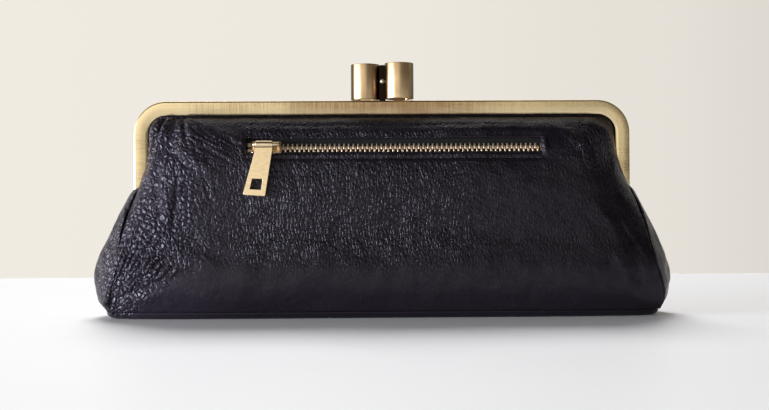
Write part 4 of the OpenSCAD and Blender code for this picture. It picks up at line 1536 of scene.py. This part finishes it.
class PURSE_OT_tapes(bpy.types.Operator):
    """Makes the two woven tapes of the zip"""

    bl_idname = "purse.tapes"
    bl_label = "Zip tapes"

    def execute(self, context):
        columns = [ZIP_LEFT - 1 + (ZIP_LEN + 2) * i / 150 for i in range(151)]
        rows = [mix(1.0, 5.7, i / 10) for i in range(11)]
        for side, sign in (("upper", 1), ("lower", -1)):

            def place(x, z):
                ripple = 0.06 * math.sin(x * 0.21) * share(z, 2.4, 5)
                return ON_ZIP @ Vector((x, ZIP_SINK - 0.25 - ripple, sign * z))

            bm = moved_grid(columns, rows, place)
            bm.normal_update()
            look(bm, 1, -1)
            tape = add_piece(bm, "tape_" + side, [tape_cloth()], angle=0, recalc=False)
            thicken(tape, CLOTH)
            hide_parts("zip_tape_" + side)
            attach(tape, "front_half")
        return {"FINISHED"}


def block(middle, size, edge, segments):
    """A box with rounded edges."""
    bm = bmesh.new()
    bmesh.ops.create_cube(bm, size=1, matrix=Matrix.Translation(middle) @ Matrix.Diagonal((*size, 1)))
    bmesh.ops.bevel(
        bm, geom=list(bm.edges), offset=edge, segments=segments, profile=0.5, affect="EDGES", material=-1
    )
    return bm


def tooth():
    """One tooth standing on its tape's edge, with its nib towards +X."""
    return join_all([
        block((0, 0, 0.7), (0.9, 1.7, 3.0), 0.2, 2),
        block((0.5, 0, -0.25), (0.6, 0.7, 0.8), 0.16, 1),
    ])


class PURSE_OT_teeth(bpy.types.Operator):
    """Makes both rows of interlocking teeth and the finish of the stops"""

    bl_idname = "purse.teeth"
    bl_label = "Zip teeth"

    def execute(self, context):
        gold = cast_gold()
        start = SLIDER_X - 1.5
        end = ZIP_RIGHT - 1.7 - 1.5
        count = math.floor((end - start) / TOOTH_PITCH) + 1
        for side, sign, shift in (("upper", 1, 0.0), ("lower", -1, TOOTH_PITCH / 2)):
            shape = tooth()
            if sign < 0:
                move(shape, Matrix.Scale(-1, 4, (0, 0, 1)))
            spots = [start + 0.51 + shift + i * TOOTH_PITCH for i in range(count)]
            bm = repeat(shape, [ON_ZIP @ Matrix.Translation((x, ZIP_SINK, 0)) for x in spots])
            row = add_piece(bm, "teeth_" + side, [gold], angle=50)
            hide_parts("zip_teeth_" + side)
            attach(row, "front_half")
        for name in ("zip_top_stops", "zip_bottom_stop"):
            refinish(name, gold)
        return {"FINISHED"}


def slider_outline():
    a, w = SLIDER_LEN / 2, 3.5
    half = [
        (-a, w - 1.0), (-a + 0.35, w - 0.35), (-a + 1, w), (-a * 0.4, w), (a * 0.6, w - 0.3),
        (a - 0.35, w - 0.5), (a, w - 0.9),
    ]
    return [(x, -z) for x, z in reversed(half)] + half


SLIDER_RAIL = ((-7.0, 2.5), (-6.4, 3.4), (-2.6, 3.45), (4.2, 3.15), (7.1, 2.95), (7.1, 2.36), (-6.0, 2.36))
SLIDER_WEDGE = ((-6.8, -0.6), (-5.8, -0.8), (-2.6, 0), (-5.8, 0.8), (-6.8, 0.6))


class PURSE_OT_slider(bpy.types.Operator):
    """Makes the zip's slider with the bridge that the pull hangs on"""

    bl_idname = "purse.slider"
    bl_label = "Zip slider"

    def execute(self, context):
        place = ON_ZIP @ Matrix.Translation((SLIDER_X, 0, 0))
        reach, thick = 1.0, 0.9
        front = ZIP_SINK - reach - thick

        def plate(points, thickness, y):
            return slab(points, thickness, place @ Matrix.Translation((0, y, 0)))

        parts = [plate(slider_outline(), thick, y) for y in (front, ZIP_SINK + reach)]
        for sign in (-1, 1):
            for y in (ZIP_SINK - reach, ZIP_SINK + 0.45):
                parts.append(plate([(x, sign * z) for x, z in SLIDER_RAIL], 0.55, y))
        parts.append(plate(SLIDER_WEDGE, 2 * reach, ZIP_SINK - reach))
        for part in parts:
            bmesh.ops.recalc_face_normals(part, faces=part.faces)
        body = add_piece(join_all(parts), "slider_body", [zip_gold()], angle=30, recalc=False)
        soften(body, 0.16, 2, 40)
        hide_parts("zip_slider")
        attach(body, "slider")

        # The bridge is one bent rod: up from the plate, along as the bar, and down again
        bend, x0, y0, foot = 0.75, 5.9, -BAR_OUT, front + 0.5
        up = Matrix.Rotation(math.pi / 2, 4, "X")
        stations = [Matrix.Translation((-x0, mix(foot, y0 + bend, k / 4), 0)) @ up for k in range(5)]
        start = stations[-1]
        stations += [about(-x0 + bend, y0 + bend, 0, 15 * k, "Z") @ start for k in range(1, 7)]
        start = stations[-1]
        stations += [Matrix.Translation((2 * (x0 - bend) * k / 8, 0, 0)) @ start for k in range(1, 9)]
        start = stations[-1]
        stations += [about(x0 - bend, y0 + bend, 0, 15 * k, "Z") @ start for k in range(1, 7)]
        start = stations[-1]
        stations += [Matrix.Translation((0, (foot - (y0 + bend)) * k / 4, 0)) @ start for k in range(1, 5)]
        angles = [2 * math.pi * i / 24 for i in range(24)]
        bm = rod([(math.cos(a), math.sin(a), 0) for a in angles], [place @ m for m in stations])
        bridge = add_piece(bm, "slider_bridge", [zip_gold()], angle=40)
        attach(bridge, "slider")
        return {"FINISHED"}


class PURSE_OT_pull(bpy.types.Operator):
    """Makes the pull: a rolled eye and a flared blade with a square hole, hanging askew"""

    bl_idname = "purse.pull"
    bl_label = "Zip pull"

    def execute(self, context):
        sizes = context.scene.purse_sizes
        pivot = ON_ZIP @ Vector((PULL_X, -BAR_OUT, 0))
        place = Matrix.Translation(pivot) @ Matrix.Rotation(math.radians(-7), 4, "X")
        w0, w1, t, hole = 4.2, 5.45, 1.3, 2.6
        hole_top, hole_low = -PULL_LEN + 3 + 2 * hole, -PULL_LEN + 3
        rows = [-PULL_LEN, hole_low, hole_top, -2.9, -0.6]
        columns = [-1.0, -hole, hole, 1.0]

        def spot(c, z):
            x = c * mix(w0, w1, share(-z, 2.9, PULL_LEN)) if abs(c) == 1 else c
            way = share(-z, 2.0, PULL_LEN)
            return Vector((x - sizes.pull_lean * way, -t / 2, z - x * 0.073 * way))

        bm = moved_grid(columns, rows, spot)
        cut_out(bm, lambda at: hole_low < at.z < hole_top and abs(at.x + sizes.pull_lean * 0.78) < hole)
        push_out(bm, (0, t, 0))
        corners = [
            e for e in bm.edges
            if all(v.co.z < -PULL_LEN + 1.5 for v in e.verts) and abs(e.verts[0].co.y - e.verts[1].co.y) > 1
        ]
        bmesh.ops.bevel(bm, geom=corners, offset=0.8, segments=4, profile=0.5, affect="EDGES", material=-1)
        bmesh.ops.recalc_face_normals(bm, faces=bm.faces)
        inner, outer = 1.07, 1.87
        profile = [
            (inner, -w0), (inner + 0.15, -w0), (outer - 0.25, -w0), (outer, -w0 + 0.25),
            (outer, w0 - 0.25), (outer - 0.25, w0), (inner + 0.15, w0), (inner, w0),
        ]
        eye = turned(profile, 40, Matrix.Rotation(math.pi / 2, 4, "Y"))
        bmesh.ops.recalc_face_normals(eye, faces=eye.faces)
        bm = join_all([bm, eye])
        move(bm, place)
        pull = add_piece(bm, "pull_tab", [zip_gold()], angle=30, recalc=False)
        soften(pull, 0.2, 3, 40)
        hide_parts("zip_pull")
        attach(pull, "pull")
        return {"FINISHED"}


# Stage


# The room's colours by bearing: the back, the bright window at the left, the pale wall in front
# with a dark gap straight ahead, and the dim right side
ROOM = (
    (0.0, "#5c5a58"), (1.0, "#5c5a56"), (0.167, "#8b8b8b"), (0.215, "#c4c5c8"), (0.25, "#fbfcff"),
    (0.33, "#f2f4fa"), (0.385, "#b9babd"), (0.43, "#aaa7a1"), (0.469, "#d8d5ce"), (0.481, "#aeaaa3"),
    (0.491, "#a9a59d"), (0.503, "#6e6961"), (0.512, "#99948b"), (0.521, "#c6c0b5"), (0.529, "#4c4843"),
    (0.565, "#504c47"), (0.667, "#474440"), (0.778, "#514e4a"),
)
ABOVE = (
    (0.0, "#454545"), (1.0, "#454443"), (0.2, "#4a4a4a"), (0.26, "#6a6b6e"),
    (0.33, "#606164"), (0.38, "#3a3a3a"), (0.44, "#2c2b2a"), (0.8, "#2c2b2a"),
)


def soft_room(colours):
    """The light of the room, which the brass mirrors."""
    world = bpy.data.worlds.new("soft_room")
    world.use_nodes = True
    tree = world.node_tree
    back = tree.nodes["Background"]
    way = split(tree, add_node(tree, "ShaderNodeTexCoord").outputs["Generated"])
    height = way["Z"]
    bearing = math_node(tree, "ARCTAN2", way["X"], times(tree, way["Y"], -1.0))
    bearing = plus(tree, math_node(tree, "DIVIDE", bearing, 2 * math.pi), 0.5)
    lift = ramp(tree, height, [(0.0, 0.95), (0.2, 1.0), (0.09, 0.7)])
    walls = blended(tree, 1.0, ramp(tree, bearing, ROOM, "EASE"), lift, blend_type="MULTIPLY")
    above = ranged(tree, height, 0.33, 0.45, ease="LINEAR")
    sky = blended(tree, above, walls, ramp(tree, bearing, ABOVE, "EASE"))
    sky = blended(tree, ranged(tree, height, 0.78, 0.95, ease="LINEAR"), sky, linear("#363534"))
    # Past the wall and the table's edge the view finds the wall's own colour
    seen = add_node(tree, "ShaderNodeLightPath").outputs["Is Camera Ray"]
    sky = blended(tree, seen, sky, colours.wall[:])
    window = ramp(tree, bearing, [(0.24, 0.0), (0.425, 0.0), (0.29, 1.0), (0.375, 1.0)], "EASE")
    window = times(tree, window, ramp(tree, height, [(0.2, 1.0), (0.32, 0.0)]))
    strength = blended(tree, seen, plus(tree, 2.6, times(tree, window, 1.5)), 1.0, "FLOAT")
    tree.links.new(sky, back.inputs["Color"])
    tree.links.new(strength, back.inputs["Strength"])
    return world


def photo_camera():
    """A camera where the photograph was taken from, by its solved angles and place."""
    yaw, pitch, roll = math.radians(1.253), math.radians(0.471), math.radians(-0.336)
    ahead = Vector((math.sin(yaw) * math.cos(pitch), math.cos(yaw) * math.cos(pitch), math.sin(pitch)))
    right = Vector((math.cos(yaw), -math.sin(yaw), 0))
    up = right.cross(ahead)
    turned_right = math.cos(roll) * right + math.sin(roll) * up
    turned_up = math.cos(roll) * up - math.sin(roll) * right
    camera = bpy.data.cameras.new("camera")
    camera.lens = 60.49
    camera.sensor_width = 36
    camera.clip_start = 0.01
    holder = stand("camera", camera)
    pose = Matrix((turned_right, turned_up, -ahead)).transposed().to_4x4()
    holder.matrix_world = Matrix.Translation((-0.01349, -0.65615, 0.050)) @ pose
    return holder


class PURSE_OT_stage(bpy.types.Operator):
    """Makes the table, the wall, the lamps and the camera"""

    bl_idname = "purse.stage"
    bl_label = "Stage"

    def execute(self, context):
        colours = context.scene.purse_colours
        bm = bmesh.new()
        bmesh.ops.create_grid(
            bm, x_segments=8, y_segments=8, size=1600, matrix=Matrix.Translation((0, -1180, 0))
        )
        table = add_piece(bm, "table", [painted("table_white", colours.table[:], 0.45)], angle=0, recalc=False)
        table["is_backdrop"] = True
        bm = bmesh.new()
        bmesh.ops.create_grid(
            bm, x_segments=8, y_segments=8, size=1600,
            matrix=Matrix.Translation((0, 420, 1600)) @ Matrix.Rotation(math.pi / 2, 4, "X"),
        )
        wall = add_piece(bm, "wall", [lit_wall("wall_cream", colours.wall[:])], angle=0, recalc=False)
        wall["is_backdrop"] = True

        context.scene.world = soft_room(colours)
        sun = bpy.data.lights.new("high_window", "SUN")
        sun.energy = 2.5
        sun.angle = math.radians(28)
        holder = stand("high_window", sun)
        holder.rotation_euler = Vector((-0.07, 0.69, 0.72)).to_track_quat("Z", "Y").to_euler()
        lamp = bpy.data.lights.new("side_window", "AREA")
        lamp.shape = "RECTANGLE"
        lamp.size, lamp.size_y = 0.4, 0.12
        lamp.energy = 15.0
        lamp.color = linear("#f4f6ff")[:3]
        holder = stand("side_window", lamp)
        holder.location = (-1.0, -0.36, 0.062)
        holder.rotation_euler = (holder.location - Vector((-0.1, 0, 0.06))).to_track_quat("Z", "Y").to_euler()
        context.scene.camera = photo_camera()
        context.scene.view_settings.view_transform = "Standard"
        return {"FINISHED"}


class PURSE_PT_panel(bpy.types.Panel):
    """Lists the purse's pieces"""

    bl_idname = "PURSE_PT_panel"
    bl_label = "Kiss lock frame purse"
    bl_space_type = "VIEW_3D"
    bl_region_type = "UI"
    bl_category = "Purse"

    def draw(self, context):
        for group in (context.scene.purse_sizes, context.scene.purse_colours):
            for name in group.bl_rna.properties.keys():
                if name not in ("rna_type", "name"):
                    self.layout.prop(group, name)
        for operator in OPERATORS:
            self.layout.operator(operator.bl_idname)


OPERATORS = (
    PURSE_OT_stage,
    PURSE_OT_front_skin,
    PURSE_OT_stitching,
    PURSE_OT_rear_skin,
    PURSE_OT_gussets,
    PURSE_OT_base,
    PURSE_OT_lining,
    PURSE_OT_pocket,
    PURSE_OT_frame,
    PURSE_OT_clasp,
    PURSE_OT_tapes,
    PURSE_OT_teeth,
    PURSE_OT_slider,
    PURSE_OT_pull,
)
CLASSES = (PurseSizes, PurseColours) + OPERATORS + (PURSE_PT_panel,)


def register():
    for item in CLASSES:
        bpy.utils.register_class(item)
    bpy.types.Scene.purse_sizes = PointerProperty(type=PurseSizes)
    bpy.types.Scene.purse_colours = PointerProperty(type=PurseColours)


def unregister():
    del bpy.types.Scene.purse_colours
    del bpy.types.Scene.purse_sizes
    for item in reversed(CLASSES):
        bpy.utils.unregister_class(item)


def corners(box):
    return [[round(c, 6) for c in corner] for corner in box]


def main():
    register()
    bpy.ops.purse.stage()
    bpy.ops.purse.front_skin()
    bpy.ops.purse.stitching()
    bpy.ops.purse.rear_skin()
    bpy.ops.purse.gussets()
    bpy.ops.purse.base()
    bpy.ops.purse.lining()
    bpy.ops.purse.pocket()
    bpy.ops.purse.frame()
    bpy.ops.purse.clasp()
    bpy.ops.purse.tapes()
    bpy.ops.purse.teeth()
    bpy.ops.purse.slider()
    bpy.ops.purse.pull()
    {"cad": corners(CAD_BOX), "visual": corners(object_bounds())}


if __name__ == "__main__":
    main()
